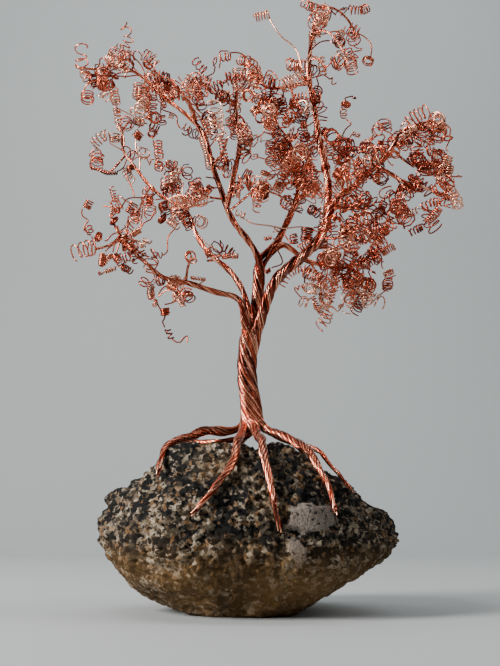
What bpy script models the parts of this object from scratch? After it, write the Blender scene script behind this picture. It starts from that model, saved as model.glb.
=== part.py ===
"""Copper wire tree on a granite rock.

Seven bundles of twisted copper wire each run in one piece: a root lies on the rock, climbs the trunk as one
strand of a seven-strand rope, leaves it as a branch and frays into twigs that end in wound coils of wire.
Three limbs (the upright one at the left, the crown's left one and the lower one at the right) are bundles of
their own that stand a hair's breadth clear of the branch they leave.
The rock is one rough boulder that stands on a worn flat underside.

Lengths are in millimetres here and become metres when a mesh is made. +Z is up, the front faces -Y, and the
origin is the middle of the rock's flat underside.
"""
import math

import bmesh
import bpy
from mathutils import Vector, noise
from mathutils.bvhtree import BVHTree

MM = 0.001

# ---- rock: its outline seen from the front (X, Z), and the faces that cut its depth ----
ROCK_CENTRE = Vector((0, 0, 30))
ROCK_OUTLINE = [(55.5, 30), (55.5, 33), (53.5, 36), (45, 38.5), (42.5, 40.5), (25, 51), (19.5, 57),
                (15.5, 59.5), (8.5, 60.5), (3, 58), (-15.5, 59), (-20.5, 60.5), (-27.5, 60.5), (-33, 60),
                (-34.5, 57), (-35.5, 54), (-41, 50), (-45, 48.5), (-47.5, 45.5), (-59, 44.5), (-60, 43),
                (-55, 38), (-57.5, 34), (-58.5, 30), (-57.5, 26), (-54, 20.5), (-41, 6.5), (-30, 1),
                (-20, -1.5), (0, -3), (14, -1.5), (25.5, 5), (35, 11.5), (49, 18), (53.5, 22.5)]
ROCK_FACES = [  # azimuth and elevation of the face's normal in degrees, distance from the rock's centre
    (270, 38, 39), (268, -4, 41), (272, -48, 37), (218, 32, 44), (222, -16, 49), (228, -50, 41),
    (318, 30, 42), (318, -10, 47), (312, -48, 41), (90, 40, 37), (92, -2, 39), (88, -50, 36),
    (46, 28, 45), (44, -28, 46), (134, 28, 45), (136, -30, 46)]
ROCK_EDGE = 18          # how crisply the faces meet
CRAG = 1.6              # height of the broken lumps on the rock
CRAG_SIZE = 13          # and the distance between them
ROCK_STEPS = 32         # steps round the rock
ROCK_LEVELS = 16        # levels from its underside to its top

# ---- wire ----
GAP = 0.3               # clear space kept between pieces
TRUNK_FOOT = 68
TRUNK_TOP = 107
TRUNK_STEP = 3
TRUNK_TURN = -345       # degrees of twist from foot to top
TRUNK_RING = 3.05       # centres of the six outer strands from the trunk's axis
FOOT_FLARE = 1.6        # and how much further out they stand at its foot
FLARE_HEIGHT = 6
TRUNK_LEAN = [(65, 0.9), (68, 0.9), (73, 0.65), (79, 0.1), (84.5, -0.8), (90, -1.2), (95, -1.1),
              (102.5, -0.1), (107, 0.75)]  # height, and how far right the trunk's axis stands there
STRAND = 1.17           # radius of a strand in the trunk
ROPE_STRAND = 1.13      # and in the ropes above it
ROPE_STEP = 2.8         # between rings of points along a rope
MIDDLE = "bundle_high_left"  # its strand rises straight up the middle and leaves lowest, under the others
MIDDLE_FOOT = 65
STRAND_SIDES = 6
STRAND_STEP = 8         # between rings of points along branches
STRAIGHT = 0.35         # a point of a branch this near the line between its neighbours is left out
ROOT_STEP = 8           # and along roots
ROOT_SWELL = 1.5        # radius halfway along a root
ROOT_TIP = 0.7
SECOND_ROOT = 1.1       # radius where a side root leaves its root
TWIG = 0.65             # radius where a twig leaves its branch
TWIG_TIP = 0.4
TWIG_SIDES = 3
TWIG_STEP = 9
LEAD = 0.38             # the wire that carries a coil
LEAD_STRAIGHT = 1.6     # a point of it this near the line between its neighbours is left out
LEAD_SHORT = 1.2        # and so is one this near its start
LEAD_SIDES = 3
LEAD_INSIDE = 0.6       # how far a lead runs into its coil, and keeps from the ends of what it starts from
COIL_SIDES = 4

# Above the trunk's top its strands part in three ropes: two strands to the left, three that climb on as an
# upper trunk, whose two back strands then carry the centre, and two to the right. Each rope is a line of
# centres, the ring its strands lie on, its twist, and the angle at which each bundle's strand starts.
ROPES = [
    dict(line=[(-1.5, -1.3, 107), (-1.8, -2.3, 110), (-1.9, -2.9, 113), (-2.2, -3, 116)], ring=1.5, turn=-120,
         strands={"bundle_mid_left": 120, "bundle_low_left": 300}),
    dict(line=[(0.75, 1.73, 107), (1.7, 2.8, 110.5), (2.3, 3.1, 114), (2.7, 3, 118), (3.2, 2.8, 123),
               (3.5, 2.8, 128), (4, 2.8, 134)],
         ring=1.73, turn=-360,
         strands={"bundle_back_right": 30, "bundle_centre": 150, "bundle_high_left": 270}),
    dict(line=[(3, -1.3, 107), (4.2, -2.4, 110.5), (5.4, -3.2, 114), (6.8, -4, 118.5), (8.6, -4.8, 123),
               (11.5, -5.6, 127.5), (16, -6.4, 131.5), (20, -7, 134.5), (24.5, -8, 138.5), (27.5, -8.5, 141)],
         ring=1.5, turn=-810, strands={"bundle_crown": 240, "bundle_right": 60}),
    dict(line=[(5.2, 4.3, 137.5), (8, 5.5, 141), (11.5, 7.3, 145)], ring=1.5, turn=-60,
         strands={"bundle_back_right": 20, "bundle_centre": 200})]

# Each bundle: the angle of its strand at the trunk's foot, its root (azimuth, elevation, height over the
# rock) from the trunk outwards and any second root, swell, the root's radius near the trunk where it isn't
# ROOT_SWELL, its branch from the trunk to the tip, radius at both ends of the branch, and its twigs, each a
# route from the branch. The three limbs have a branch and twigs alone.
BUNDLES = {
    "bundle_low_left": dict(
        phase=225,
        root=[(241, 78.4, 4.1), (251.6, 69.6, 2.1), (256.6, 59.9, 0.8), (259.6, 47.8, 0.8),
              (261.1, 34.7, 0.2), (255.7, 22.6, 0), (250, 13, 0), (243.4, 5.5, 0)],
        branch=[(-4, -3.2, 118.4), (-6.8, -3.6, 120), (-12, -4.8, 120.7), (-18, -6.5, 122.2), (-25, -9, 124),
                (-32, -11, 124.5), (-37, -13, 127), (-41, -14, 131), (-46, -16, 135), (-50, -18, 140)],
        radii=(1.4, 0.7),
        twigs=[[(-32, -11, 124), (-28, -17, 119), (-25, -20, 115)],
               [(-50, -18, 140), (-53, -22, 135), (-58, -26, 132)],
               [(-50, -18, 140), (-54, -14, 148), (-55, -9, 156)],
               [(-25, -9, 124), (-24, -16, 128), (-22, -23, 130)]]),
    "bundle_mid_left": dict(
        phase=165,
        root=[(176, 76.9, 4.2), (181.9, 68.1, 4.9), (187.4, 61.7, 5), (195.2, 56.1, 2.2), (203, 47.6, 1.1),
              (211, 39, 0.9), (216, 31.9, 0.3), (219.8, 22.2, 0)],
        swell=2,
        branch=[(-1.7, -0.8, 119.5), (-3.2, 1, 124), (-6, 3.4, 129.5), (-9, 5, 133.5), (-12.5, 6, 136.8),
                (-17, 7, 141), (-21, 9, 147), (-24, 11, 154), (-26, 12, 160), (-32, 13, 165), (-38, 15, 169),
                (-43, 16, 174), (-47, 17, 179), (-51, 18, 185), (-55, 19, 190), (-57, 20, 197)],
        radii=(1.35, 0.55),
        twigs=[[(-26, 12, 160), (-28, 17, 168), (-35, 24, 176)],
               [(-18, 8, 142), (-14, 14, 142), (-7, 20, 145)],
               [(-38, 15, 169), (-35, 21, 179), (-34, 25, 187)],
               [(-55, 19, 190), (-59, 21, 186), (-63, 24, 184), (-71, 28, 188)],
               [(-43, 16, 174), (-47, 24, 172), (-50, 31, 168)],
               [(-57, 20, 197), (-57, 23, 204), (-55, 27, 210)]]),
    "bundle_crown": dict(
        phase=285,
        root=[(281, 78.5, 5.3), (280.5, 68.6, 3.9), (280.1, 58.6, 2), (279.6, 47.1, 1.4), (278.6, 33.9, 0.6),
              (280, 24.7, 0), (280.8, 13.5, 0), (282.2, 5, 0), (283.6, -1.3, 0)],
        swell=1.8,
        branch=[(29.5, -6.5, 147), (31, -6.5, 154), (31.5, -7.5, 161), (31, -8, 171), (29, -6, 183),
                (27, -4, 199), (25.5, -2, 211), (25, -1, 221), (26, 1, 231), (27, 2, 239), (29, 3, 249),
                (30, 4, 255)],
        radii=(1.9, 0.7),
        twigs=[[(27, 2, 239), (32, -2, 238), (36, -6, 232), (39, -10, 223)],
               [(30, 4, 253), (37, 6, 254), (43, 9, 251), (47, 12, 246)],
               [(25, 0, 225), (29, -5, 223), (31, -12, 214)]]),
    "bundle_crown_left": dict(
        branch=[(23.5, -2.7, 212.6), (17, -6, 210), (9, -9, 207), (3, -13, 208), (-2, -17, 210)],
        radii=(1, 0.5),
        twigs=[[(9, -9, 207), (8, -13, 198), (10, -17, 189)],
               [(17, -6, 210), (18, -11, 201), (20, -17, 195)]]),
    "bundle_right": dict(
        phase=345,
        root=[(333.4, 76.9, 5.3), (328, 66, 2.7), (323.5, 54.7, 0.9), (313, 41, 0.8), (308.1, 28.7, 0.4),
              (309.5, 18, 0), (308.2, 5.2, 0)],
        second_root=[(327.7, 61.9, 2.5), (329.7, 49.2, 2.7), (329.3, 41.3, 3.4), (327.1, 33.7, 2),
                    (325, 26.1, 0.5), (326.6, 15.2, 0.2)],
        swell=2,
        branch=[(30, -11, 146), (32, -12, 153), (36, -13, 158.5), (42, -14, 162.5), (47, -15, 167),
                (51, -16, 170.5), (55, -17, 174.5), (57, -18, 178.5), (59, -19, 182), (63, -19, 184.5),
                (68, -20, 186)],
        radii=(1.8, 0.7),
        twigs=[[(56, -18, 176), (61, -16, 172), (65, -14, 171), (71, -12, 170), (77, -10, 173),
                (81, -8, 178)],
               [(36, -13, 159), (38, -9, 167), (41, -4, 175), (41, 0, 183)],
               [(42, -14, 162), (44, -19, 166), (45, -24, 171), (47, -29, 173)],
               [(68, -20, 186), (73, -16, 189), (77, -12, 188)],
               [(32, -12, 154), (37, -17, 152), (42, -22, 152), (46, -27, 152)],
               [(29, -10, 142), (33, -15, 140), (38, -19, 141), (43, -24, 143)]]),
    "bundle_right_low": dict(
        branch=[(51.8, -16.9, 168.2), (56, -18, 165), (60, -20, 161), (64, -21, 160), (71, -23, 156),
                (76, -24, 153)],
        radii=(0.9, 0.5),
        twigs=[[(60, -20, 161), (57, -25, 153), (55, -30, 147)]]),
    "bundle_back_right": dict(
        phase=45,
        root=[(37, 77.5, 7), (31, 68, 5), (26, 57, 2), (25, 47, 0.6), (25, 39, 0), (26, 30, 0), (28, 20, 0)],
        branch=[(16, 9.6, 145), (19.5, 11.2, 142.2), (24.5, 13.2, 139.4), (30, 15, 138.5), (36, 18, 138),
                (43, 21, 139.5), (49, 23, 142.5), (55, 26, 148)],
        radii=(1.3, 0.7),
        twigs=[[(25, 13, 139), (28, 9, 132), (29, 5, 125), (28, 2, 120)],
               [(36, 18, 138), (41, 21, 134), (45, 25, 130), (50, 28, 127)],
               [(30, 15, 139), (37, 22, 147), (45, 26, 151), (53, 31, 155), (60, 34, 159)],
               [(43, 21, 139), (47, 16, 134), (52, 12, 129)],
               [(30, 15, 139), (33, 10, 143), (39, 6, 145)],
               [(36, 18, 138), (38, 28, 138), (40, 37, 141)]]),
    "bundle_centre": dict(
        phase=105,
        root=[(108, 79, 4.3), (104, 68, 3.6), (102, 58, 2), (101, 49, 0.6), (100, 40, 0), (100, 31, 0),
              (99, 22, 0), (99, 13, 0)],
        branch=[(13.6, 9.6, 151), (16.5, 11, 158), (20, 13, 167), (21, 16, 177), (21, 18, 185), (19, 20, 193),
                (16, 22, 201)],
        radii=(1.6, 0.7),
        twigs=[[(19, 12, 163), (14, 18, 170), (9, 22, 174), (4, 26, 177)],
               [(21, 16, 177), (26, 22, 187), (28, 28, 198)],
               [(21, 18, 185), (15, 25, 190), (10, 32, 198)],
               [(20, 13, 168), (26, 20, 174), (32, 28, 178)],
               [(16, 22, 200), (11, 18, 206), (9, 14, 212)],
               [(21, 16, 175), (24, 8, 180), (25, 2, 184)]]),
    "bundle_high_left": dict(
        phase=0,
        root=[(178, 81, 1.6), (172, 70, 0.6), (165, 59, 0.5), (158, 49, 1.1), (152, 40, 0.8), (148, 31, 0)],
        swell=1.1,
        branch=[(3, 0, 138), (0.6, -1, 142), (-3, -2, 146.5), (-6.5, -2.6, 151), (-9.5, -3.4, 157),
                (-12, -4.4, 165), (-15, -5.6, 173), (-17, -7, 181), (-19, -7.6, 187), (-22, -8, 191.5),
                (-27, -8, 196.5), (-33, -7, 202), (-38, -7, 206), (-42, -7, 211), (-46, -6, 215),
                (-51, -6, 217.5), (-59, -6, 219), (-66, -5, 218), (-74, -5, 219)],
        radii=(1.4, 0.5),
        twigs=[[(-22, -8, 192), (-25, -13, 198), (-29, -18, 202), (-33, -23, 204)],
               [(-42, -7, 210), (-42, -12, 200), (-40, -17, 190)],
               [(-52, -6, 217), (-56, -1, 224), (-54, 4, 229)],
               [(-15, -6, 174), (-11, -14, 176), (-9, -21, 179)],
               [(-11, -4, 160), (-17, -13, 158), (-21, -21, 158)],
               [(-8, -3, 156), (-3, -12, 157), (1, -19, 158)],
               [(-59, -6, 219), (-60, -12, 213), (-60, -17, 207)],
               [(-33, -7, 202), (-33, 0, 207), (-31, 6, 211)],
               [(-20, -6.5, 193), (-22.5, -9, 195.5), (-24.5, -11, 199), (-27, -13, 202),
                (-29.5, -15, 205)]]),
    "bundle_upright": dict(
        branch=[(-8.5, 2, 164.5), (-7.5, 3, 169), (-6.5, 4.5, 176), (-5, 6.5, 184.5), (-4.5, 8, 192),
                (-5.5, 10, 200), (-6, 12, 208), (-6, 14, 217.5), (-6, 16, 226.5)],
        radii=(1.4, 0.7),
        twigs=[[(-6, 13, 212), (-12, 10, 212), (-16, 7, 213.5), (-19, 4, 216), (-23, 2, 216)],
               [(-5, 7, 186), (-1.5, 4, 187.5), (1, 2, 190)]]),
}


# Each coil: its lead from the bundle and its axis as seen from the front (X, Z), the depth Y where the lead
# starts and where the coil is, and its outer radius.
CURLS = {
    "bundle_low_left": [
        ([(-52, 150.5), (-51.5, 152.5)], [(-52.5, 154), (-54, 160)], -17.5, -17.5, 1.3),
        ([(-48, 137.5), (-47.5, 146), (-48, 148)], [(-47, 149.5), (-45, 153.5)], -17, -17, 2),
        ([(-49, 139.5), (-53.5, 136.5), (-56, 135)], [(-56.5, 133), (-57, 128.5)], -16.5, -16.5, 1.7),
        ([(-35.5, 124), (-37, 123)], [(-38, 122), (-38.5, 120), (-38, 116.5)], -12.5, -12.5, 1.7)],
    "bundle_mid_left": [
        ([(-33.5, 166), (-36.5, 167.5)], [(-37.5, 166), (-36, 161.5)], 13.5, 15, 2.6),
        ([(-31.5, 160.5), (-34, 157.5)], [(-35, 157.5), (-30.5, 154)], 13, 13, 1.7),
        ([(-33.5, 166), (-33.5, 171.5)], [(-32.5, 174), (-33, 179)], 13.5, 13.5, 2.7),
        ([(-54, 188.5), (-55.5, 184), (-56.5, 182.5)], [(-58, 181.5), (-62.5, 181.5), (-66, 183),
          (-69.5, 184)], 18.5, 18.5, 1.2),
        ([(-15, 139), (-13, 139.5)], [(-11.5, 139.5), (-5, 139.5)], 6.5, 6.5, 1.4)],
    "bundle_crown": [
        ([(25.5, 215), (21.5, 218), (22, 220.5), (21, 226), (19.5, 230), (17, 233), (14, 235.5),
          (11, 240), (6, 243.5)], [(8, 247), (2, 245.5)], -1.5, 0, 2.2),
        ([(27, 239), (28.5, 246)], [(31, 247), (35, 246)], 2, 0.5, 2.2),
        ([(35.5, 250), (37.5, 251.5)], [(39.5, 250.5), (40.5, 249.5)], 2, 2, 3.4),
        ([(39.5, 250.5), (41, 251)], [(43, 249.5), (48.5, 249.5), (51.5, 251)], 2, 0.5, 2.2),
        ([(27, 238), (31, 238.5), (36.5, 240), (41.5, 242.5)], [(42.5, 241.5), (47, 239)], 2, 2, 3.4),
        ([(41.5, 242.5), (41, 238.5)], [(38, 237.5), (39.5, 236)], 2, 0.5, 2.9),
        ([(42.5, 225), (42.5, 224.5)], [(42, 223.5), (43.5, 218)], -2.5, -2.5, 2.9),
        ([(47, 239), (50, 237), (52.5, 233), (53, 229)], [(51, 226.5), (50.5, 225)], 2, 2, 2.6),
        ([(26, 229), (27, 227.5), (29.5, 228.5)], [(30.5, 228), (31.5, 219.5)], 0.5, 2, 1.9),
        ([(26, 206), (22.5, 203.5)], [(20.5, 203), (16.5, 203)], -3, -3, 2.5),
        ([(30.5, 152), (25, 155)], [(24, 155.5), (27.5, 153)], -6.5, -6.5, 2.3),
        ([(29.5, 148), (25.5, 147)], [(23, 147), (22.5, 142)], -6.5, -6.5, 2.7),
        ([(28.5, 145), (21, 147.5), (14, 147), (8, 148), (1, 149), (-1, 150.5)], [(-2, 152),
          (-5.5, 154)], -7, -7, 1.5)],
    "bundle_crown_left": [
        ([(0.5, 209), (-1, 216.5), (-4, 219.5), (-6.5, 220.5)], [(-8, 218), (-12, 218)], -15, -15, 2),
        ([(4, 208), (1, 209)], [(2.5, 214.5), (3, 209)], -12.5, -12.5, 2.1),
        ([(13.5, 208.5), (14, 205)], [(13, 203), (14, 196.5)], -7.5, -7.5, 2.2),
        ([(14, 196.5), (15, 194.5)], [(15, 193.5), (14.5, 190)], -7.5, -9, 1.8)],
    "bundle_right": [
        ([(37.5, 180.5), (33, 182)], [(32.5, 184.5), (33.5, 178.5)], -3.5, -3.5, 2.1),
        ([(37.5, 159.5), (33.5, 164.5)], [(33, 166.5), (36, 164)], -13.5, -18, 2.2),
        ([(42.5, 171), (42, 176)], [(44, 178), (46, 177.5)], -16.5, -16.5, 2.4),
        ([(57, 178), (56.5, 182), (54, 186)], [(51, 185), (50, 183)], -18, -18, 2.7),
        ([(76.5, 186.5), (79, 184), (77, 181)], [(79, 180), (79.5, 179.5)], -19.5, -19.5, 2.6),
        ([(79, 180), (77, 175.5), (79, 173)], [(79, 172.5), (76.5, 169), (74, 166.5)], -19.5, -19.5, 2.2),
        ([(37.5, 142.5), (38, 147.5)], [(36.5, 147.5), (39.5, 143)], -17, -12.5, 2),
        ([(39.5, 143), (44, 142)], [(45.5, 145), (48, 142)], -12.5, -12.5, 2.2)],
    "bundle_right_low": [
        ([(65.5, 149.5), (65, 149)], [(64.5, 149), (61, 147), (56, 145)], -22.5, -22.5, 1.6),
        ([(75, 153), (74, 151)], [(72.5, 149.5), (70, 146), (66.5, 142.5)], -22.5, -24, 1.8),
        ([(66.5, 142.5), (65.5, 141.5)], [(65, 141), (60, 138.5)], -24, -25.5, 1.7),
        ([(57.5, 159.5), (53, 157)], [(53, 155.5), (51, 151)], -14, -14, 1.8)],
    "bundle_back_right": [
        ([(48, 142), (53, 146.5), (55.5, 145)], [(57, 146), (62.5, 149)], 22.5, 22.5, 2),
        ([(60.5, 135.5), (60.5, 134.5)], [(59.5, 134), (59, 130)], 23.5, 23.5, 2.6),
        ([(31, 119), (30.5, 118.5)], [(30, 119), (27, 126)], 18.5, 21.5, 1.4),
        ([(33, 138), (32.5, 132.5)], [(31.5, 131), (32, 125)], 16.5, 15, 1.3),
        ([(30.5, 139), (30.5, 142.5)], [(30.5, 144), (34, 139.5)], 14.5, 14.5, 2.4),
        ([(40.5, 141), (41, 145)], [(41, 147), (46, 146)], 21, 21, 2.2)],
    "bundle_centre": [
        ([(19, 193), (12.5, 193)], [(9, 196.5), (9, 191.5)], 20, 20, 2.5),
        ([(21, 175), (12, 176)], [(10.5, 175), (14.5, 172.5)], 15.5, 15.5, 2.7),
        ([(13.5, 151.5), (17.5, 145)], [(18.5, 145), (18, 149)], 9.5, 6.5, 1.9)],
    "bundle_high_left": [
        ([(-60, 207), (-65.5, 204.5), (-67.5, 203)], [(-65.5, 200.5), (-65, 196.5)], -17, -17, 2.8),
        ([(-63, 215), (-64.5, 212.5)], [(-65.5, 213), (-64, 209.5)], -6, -7.5, 2.3),
        ([(-44, 214.5), (-43.5, 217.5)], [(-42.5, 221.5), (-41.5, 221.5)], -6, -1.5, 3.8),
        ([(-57.5, 209.5), (-57.5, 209.5)], [(-56.5, 207.5), (-56, 204), (-55, 200.5)], -7.5, -7.5, 2.2),
        ([(-55, 200.5), (-55, 200)], [(-55, 199), (-54, 192.5)], -7.5, -7.5, 1.7),
        ([(-45, 214), (-46, 212.5)], [(-46.5, 210.5), (-47, 204.5)], -6, -6, 2.3),
        ([(-40.5, 209.5), (-41.5, 207.5)], [(-40.5, 205.5), (-40.5, 198)], -7, -7, 2.3),
        ([(-44.5, 194.5), (-43, 195)], [(-42, 193.5), (-38, 191.5)], -3, -3, 2.1),
        ([(-44.5, 194.5), (-45, 192)], [(-45.5, 190.5), (-47.5, 188)], -3, -3, 2.2),
        ([(-40.5, 187), (-39, 187)], [(-38, 185), (-37, 177.5)], -6, -6, 2.1),
        ([(-37, 177.5), (-37, 176)], [(-37, 175), (-37, 171.5)], -6, -7.5, 2),
        ([(-22.5, 194.5), (-19.5, 195)], [(-19, 194), (-16.5, 186.5)], -9, -7, 1.7),
        ([(-13.5, 169), (-18, 169)], [(-19.5, 167), (-24, 164.5)], -5, -5, 3.2)],
    "bundle_upright": [
        ([(-6, 225.5), (-6.5, 229.5)], [(-5.5, 231.5), (-5, 226.5)], 16, 19, 2.8),
        ([(-6, 213), (-8, 213.5)], [(-9, 215), (-13.5, 215)], 13, 13, 3),
        ([(-19, 219.5), (-21, 219.5)], [(-22.5, 220), (-28, 219)], 9, 9, 2.6),
        ([(-19, 219.5), (-19, 222)], [(-19.5, 224), (-22.5, 227), (-24, 229.5)], 9, 7.5, 2.2),
        ([(-5.5, 203), (-6, 202)], [(-7, 200.5), (-6.5, 194.5)], 11, 11, 2.2),
        ([(-8, 167.5), (-4, 166)], [(-1.5, 168.5), (1, 169.5)], 2.5, 2.5, 2.3)],
}


def unit(azimuth, elevation):
    a = math.radians(azimuth)
    e = math.radians(elevation)
    return Vector((math.cos(a) * math.cos(e), math.sin(a) * math.cos(e), math.sin(e)))


# ---------------------------------------------------------------- rock
FACES = [unit(a, e) / d for a, e, d in ROCK_FACES]
OUTLINE = sorted((math.degrees(math.atan2(z - ROCK_CENTRE.z, x)) % 360, math.hypot(x, z - ROCK_CENTRE.z))
                 for x, z in ROCK_OUTLINE)


def outline_radius(angle):
    """Distance from the rock's centre to its front outline at this angle."""
    ring = [(OUTLINE[-1][0] - 360, OUTLINE[-1][1])] + OUTLINE + [(OUTLINE[0][0] + 360, OUTLINE[0][1])]
    for (a0, r0), (a1, r1) in zip(ring, ring[1:]):
        if a0 <= angle % 360 <= a1:
            return r0 + (r1 - r0) * (angle % 360 - a0) / (a1 - a0)


def rock_radius(direction):
    """The outline run straight back, cut by the faces, with edges rounded by a power mean."""
    flat = math.hypot(direction.x, direction.z)
    angle = math.degrees(math.atan2(direction.z, direction.x))
    total = (flat / outline_radius(angle)) ** ROCK_EDGE
    total += sum(max(0, direction.dot(face)) ** ROCK_EDGE for face in FACES)
    radius = total ** (-1 / ROCK_EDGE)
    return radius + CRAG * noise.noise(direction * radius / CRAG_SIZE)


def rock_point(azimuth, elevation):
    direction = unit(azimuth, elevation)
    point = ROCK_CENTRE + direction * rock_radius(direction)
    point.z = max(point.z, 0)
    return point


def rock_mesh():
    """Levels of points from the underside to the top, closed by a fan at each end."""
    bm = bmesh.new()
    levels = []
    for i in range(1, ROCK_LEVELS):
        elevation = -90 + 180 * i / ROCK_LEVELS
        points = [rock_point(360 * j / ROCK_STEPS, elevation) for j in range(ROCK_STEPS)]
        levels.append([bm.verts.new(point * MM) for point in points])
    for low, high in zip(levels, levels[1:]):
        for j in range(ROCK_STEPS):
            k = (j + 1) % ROCK_STEPS
            bm.faces.new((low[j], low[k], high[k], high[j]))
    bottom = bm.verts.new(rock_point(0, -90) * MM)
    top = bm.verts.new(rock_point(0, 90) * MM)
    for j in range(ROCK_STEPS):
        k = (j + 1) % ROCK_STEPS
        bm.faces.new((bottom, levels[0][k], levels[0][j]))
        bm.faces.new((top, levels[-1][j], levels[-1][k]))
    bmesh.ops.triangulate(bm, faces=bm.faces)
    return bm


# ---------------------------------------------------------------- routes
def smooth(points, step):
    """A Catmull-Rom curve through the points, with a new point about every step along it."""
    ends = [points[0] * 2 - points[1]] + points + [points[-1] * 2 - points[-2]]
    out = [points[0]]
    for i in range(1, len(ends) - 2):
        a, b, c, d = ends[i - 1:i + 3]
        pieces = max(1, round((c - b).length / step))
        for j in range(1, pieces + 1):
            t = j / pieces
            out.append(0.5 * (2 * b + (c - a) * t + (2 * a - 5 * b + 4 * c - d) * t ** 2
                              + (3 * b - a - 3 * c + d) * t ** 3))
    return out


def along(points):
    """How far along the route each point lies, from 0 to 1."""
    lengths = [0]
    for a, b in zip(points, points[1:]):
        lengths.append(lengths[-1] + (b - a).length)
    return [s / lengths[-1] for s in lengths]


def twist(centres, start, turn, ring, step):
    """The route of one strand wound round a line of centres, a ring's radius from it."""
    line = smooth([Vector(c) for c in centres], step)
    places = along(line)
    out = []
    for i, (centre, s) in enumerate(zip(line, places)):
        ahead = (line[min(i + 1, len(line) - 1)] - line[max(i - 1, 0)]).normalized()
        side = (Vector((1, 0, 0)) - ahead * ahead.x).normalized()
        back = ahead.cross(side)
        a = math.radians(start + turn * s)
        out.append(centre + (side * math.cos(a) + back * math.sin(a)) * ring)
    return out


def trunk_axis(z):
    """The middle of the trunk at this height."""
    for (low, x0), (high, x1) in zip(TRUNK_LEAN, TRUNK_LEAN[1:]):
        if z <= high:
            return Vector((x0 + (x1 - x0) * (z - low) / (high - low), 0, z))


def trunk(phase):
    """An outer strand's helix from the trunk's foot to its top."""
    count = round((TRUNK_TOP - TRUNK_FOOT) / TRUNK_STEP)
    out = []
    for i in range(count + 1):
        a = math.radians(phase + TRUNK_TURN * i / count)
        z = TRUNK_FOOT + (TRUNK_TOP - TRUNK_FOOT) * i / count
        ring = TRUNK_RING + FOOT_FLARE * max(0, 1 - (z - TRUNK_FOOT) / FLARE_HEIGHT) ** 2
        out.append(trunk_axis(z) + Vector((math.cos(a), math.sin(a), 0)) * ring)
    return out


def root(spec, rock):
    """From tip to trunk: places on the rock as azimuth, elevation and height over it."""
    points = []
    for azimuth, elevation, height in reversed(spec):
        direction = unit(azimuth, elevation)
        hit, normal, _, _ = rock.ray_cast((ROCK_CENTRE + direction * 150) * MM, -direction)
        points.append(hit / MM + direction * height + normal * (ROOT_SWELL + GAP))
    return points


# ---------------------------------------------------------------- tubes
def frames(points):
    """A side vector at each point that turns as little as it can along the route."""
    sides = []
    side = None
    for i, point in enumerate(points):
        ahead = (points[min(i + 1, len(points) - 1)] - points[max(i - 1, 0)]).normalized()
        if side is None:
            side = ahead.orthogonal().normalized()
        side = (side - ahead * ahead.dot(side)).normalized()
        sides.append((side, ahead.cross(side)))
    return sides


def tube(points, radii, sides):
    """A closed tube round the route, with flat ends."""
    bm = bmesh.new()
    rings = []
    for point, radius, (side, back) in zip(points, radii, frames(points)):
        ring = []
        for k in range(sides):
            a = 2 * math.pi * k / sides
            ring.append(bm.verts.new((point + (side * math.cos(a) + back * math.sin(a)) * radius) * MM))
        rings.append(ring)
    for low, high in zip(rings, rings[1:]):
        for k in range(sides):
            m = (k + 1) % sides
            bm.faces.new((low[k], low[m], high[m], high[k]))
    bm.faces.new(list(reversed(rings[0])))
    bm.faces.new(rings[-1])
    bmesh.ops.triangulate(bm, faces=bm.faces)
    return bm


def as_mesh(bm):
    mesh = bpy.data.meshes.new("piece")
    bm.to_mesh(mesh)
    bm.free()
    return mesh


# ---------------------------------------------------------------- bundles
def climb_route(name):
    """The strand's way up the trunk."""
    if name != MIDDLE:
        return trunk(BUNDLES[name]["phase"])
    count = round((TRUNK_TOP - MIDDLE_FOOT) / (2 * TRUNK_STEP))
    return [trunk_axis(MIDDLE_FOOT + (TRUNK_TOP - MIDDLE_FOOT) * i / count) for i in range(count + 1)]


def rope_route(name):
    """Its way along the ropes that it shares above the trunk."""
    out = []
    for rope in ROPES:
        if name in rope["strands"]:
            line = twist(rope["line"], rope["strands"][name], rope["turn"], rope["ring"], ROPE_STEP)
            out += line if out else line[1:]
    return out


def leave_out_straight(points, radii, straight=STRAIGHT):
    """The points without those that lie almost on the line between the ones kept."""
    kept = [0]
    for i in range(1, len(points) - 1):
        start = points[kept[-1]]
        ahead = (points[i + 1] - start).normalized()
        off = max(((p - start) - ahead * (p - start).dot(ahead)).length for p in points[kept[-1] + 1:i + 1])
        if off > straight:
            kept.append(i)
    kept.append(len(points) - 1)
    return [points[i] for i in kept], [radii[i] for i in kept]


def thinning(points, radii):
    """A branch as a smooth line that thins from one radius to the other."""
    line = smooth(points, STRAND_STEP)
    thick, thin = radii
    return leave_out_straight(line, [thick + (thin - thick) * s for s in along(line)])


def strand_route(name, rock):
    """Root, trunk, ropes and branch as one line, with the radius at each point."""
    spec = BUNDLES[name]
    branch = [Vector(p) for p in spec["branch"]]
    if "root" not in spec:
        return thinning(branch, spec["radii"])
    foot = smooth(root(spec["root"], rock), ROOT_STEP)
    climb = climb_route(name)
    rope = rope_route(name)
    branch, branch_radii = thinning([rope[-1]] + branch, spec["radii"])
    swell = spec.get("swell", ROOT_SWELL)
    radii = [ROOT_TIP + (ROOT_SWELL - ROOT_TIP) * min(1, 2.2 * s)
             + (swell - ROOT_SWELL) * min(1, max(0, 4 * s - 2.2)) for s in along(foot)]
    radii[-1] = STRAND
    radii += [STRAND] * (len(climb) - 1) + [ROPE_STRAND] * (len(rope) + 1)
    return foot + climb + rope + branch[1:], radii + branch_radii[1:]


def second_root(spec, rock):
    line = smooth(root(spec, rock), ROOT_STEP)
    return line, [ROOT_TIP + (SECOND_ROOT - ROOT_TIP) * s for s in along(line)]


def twig_route(points, strand):
    """A twig grows out of the nearest point of its strand and thins towards its tip."""
    line = [Vector(p) for p in points]
    line[0] = min(strand, key=lambda p: (p - line[0]).length)
    line = smooth(line, TWIG_STEP)
    return line, [TWIG + (TWIG_TIP - TWIG) * s for s in along(line)]


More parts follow.
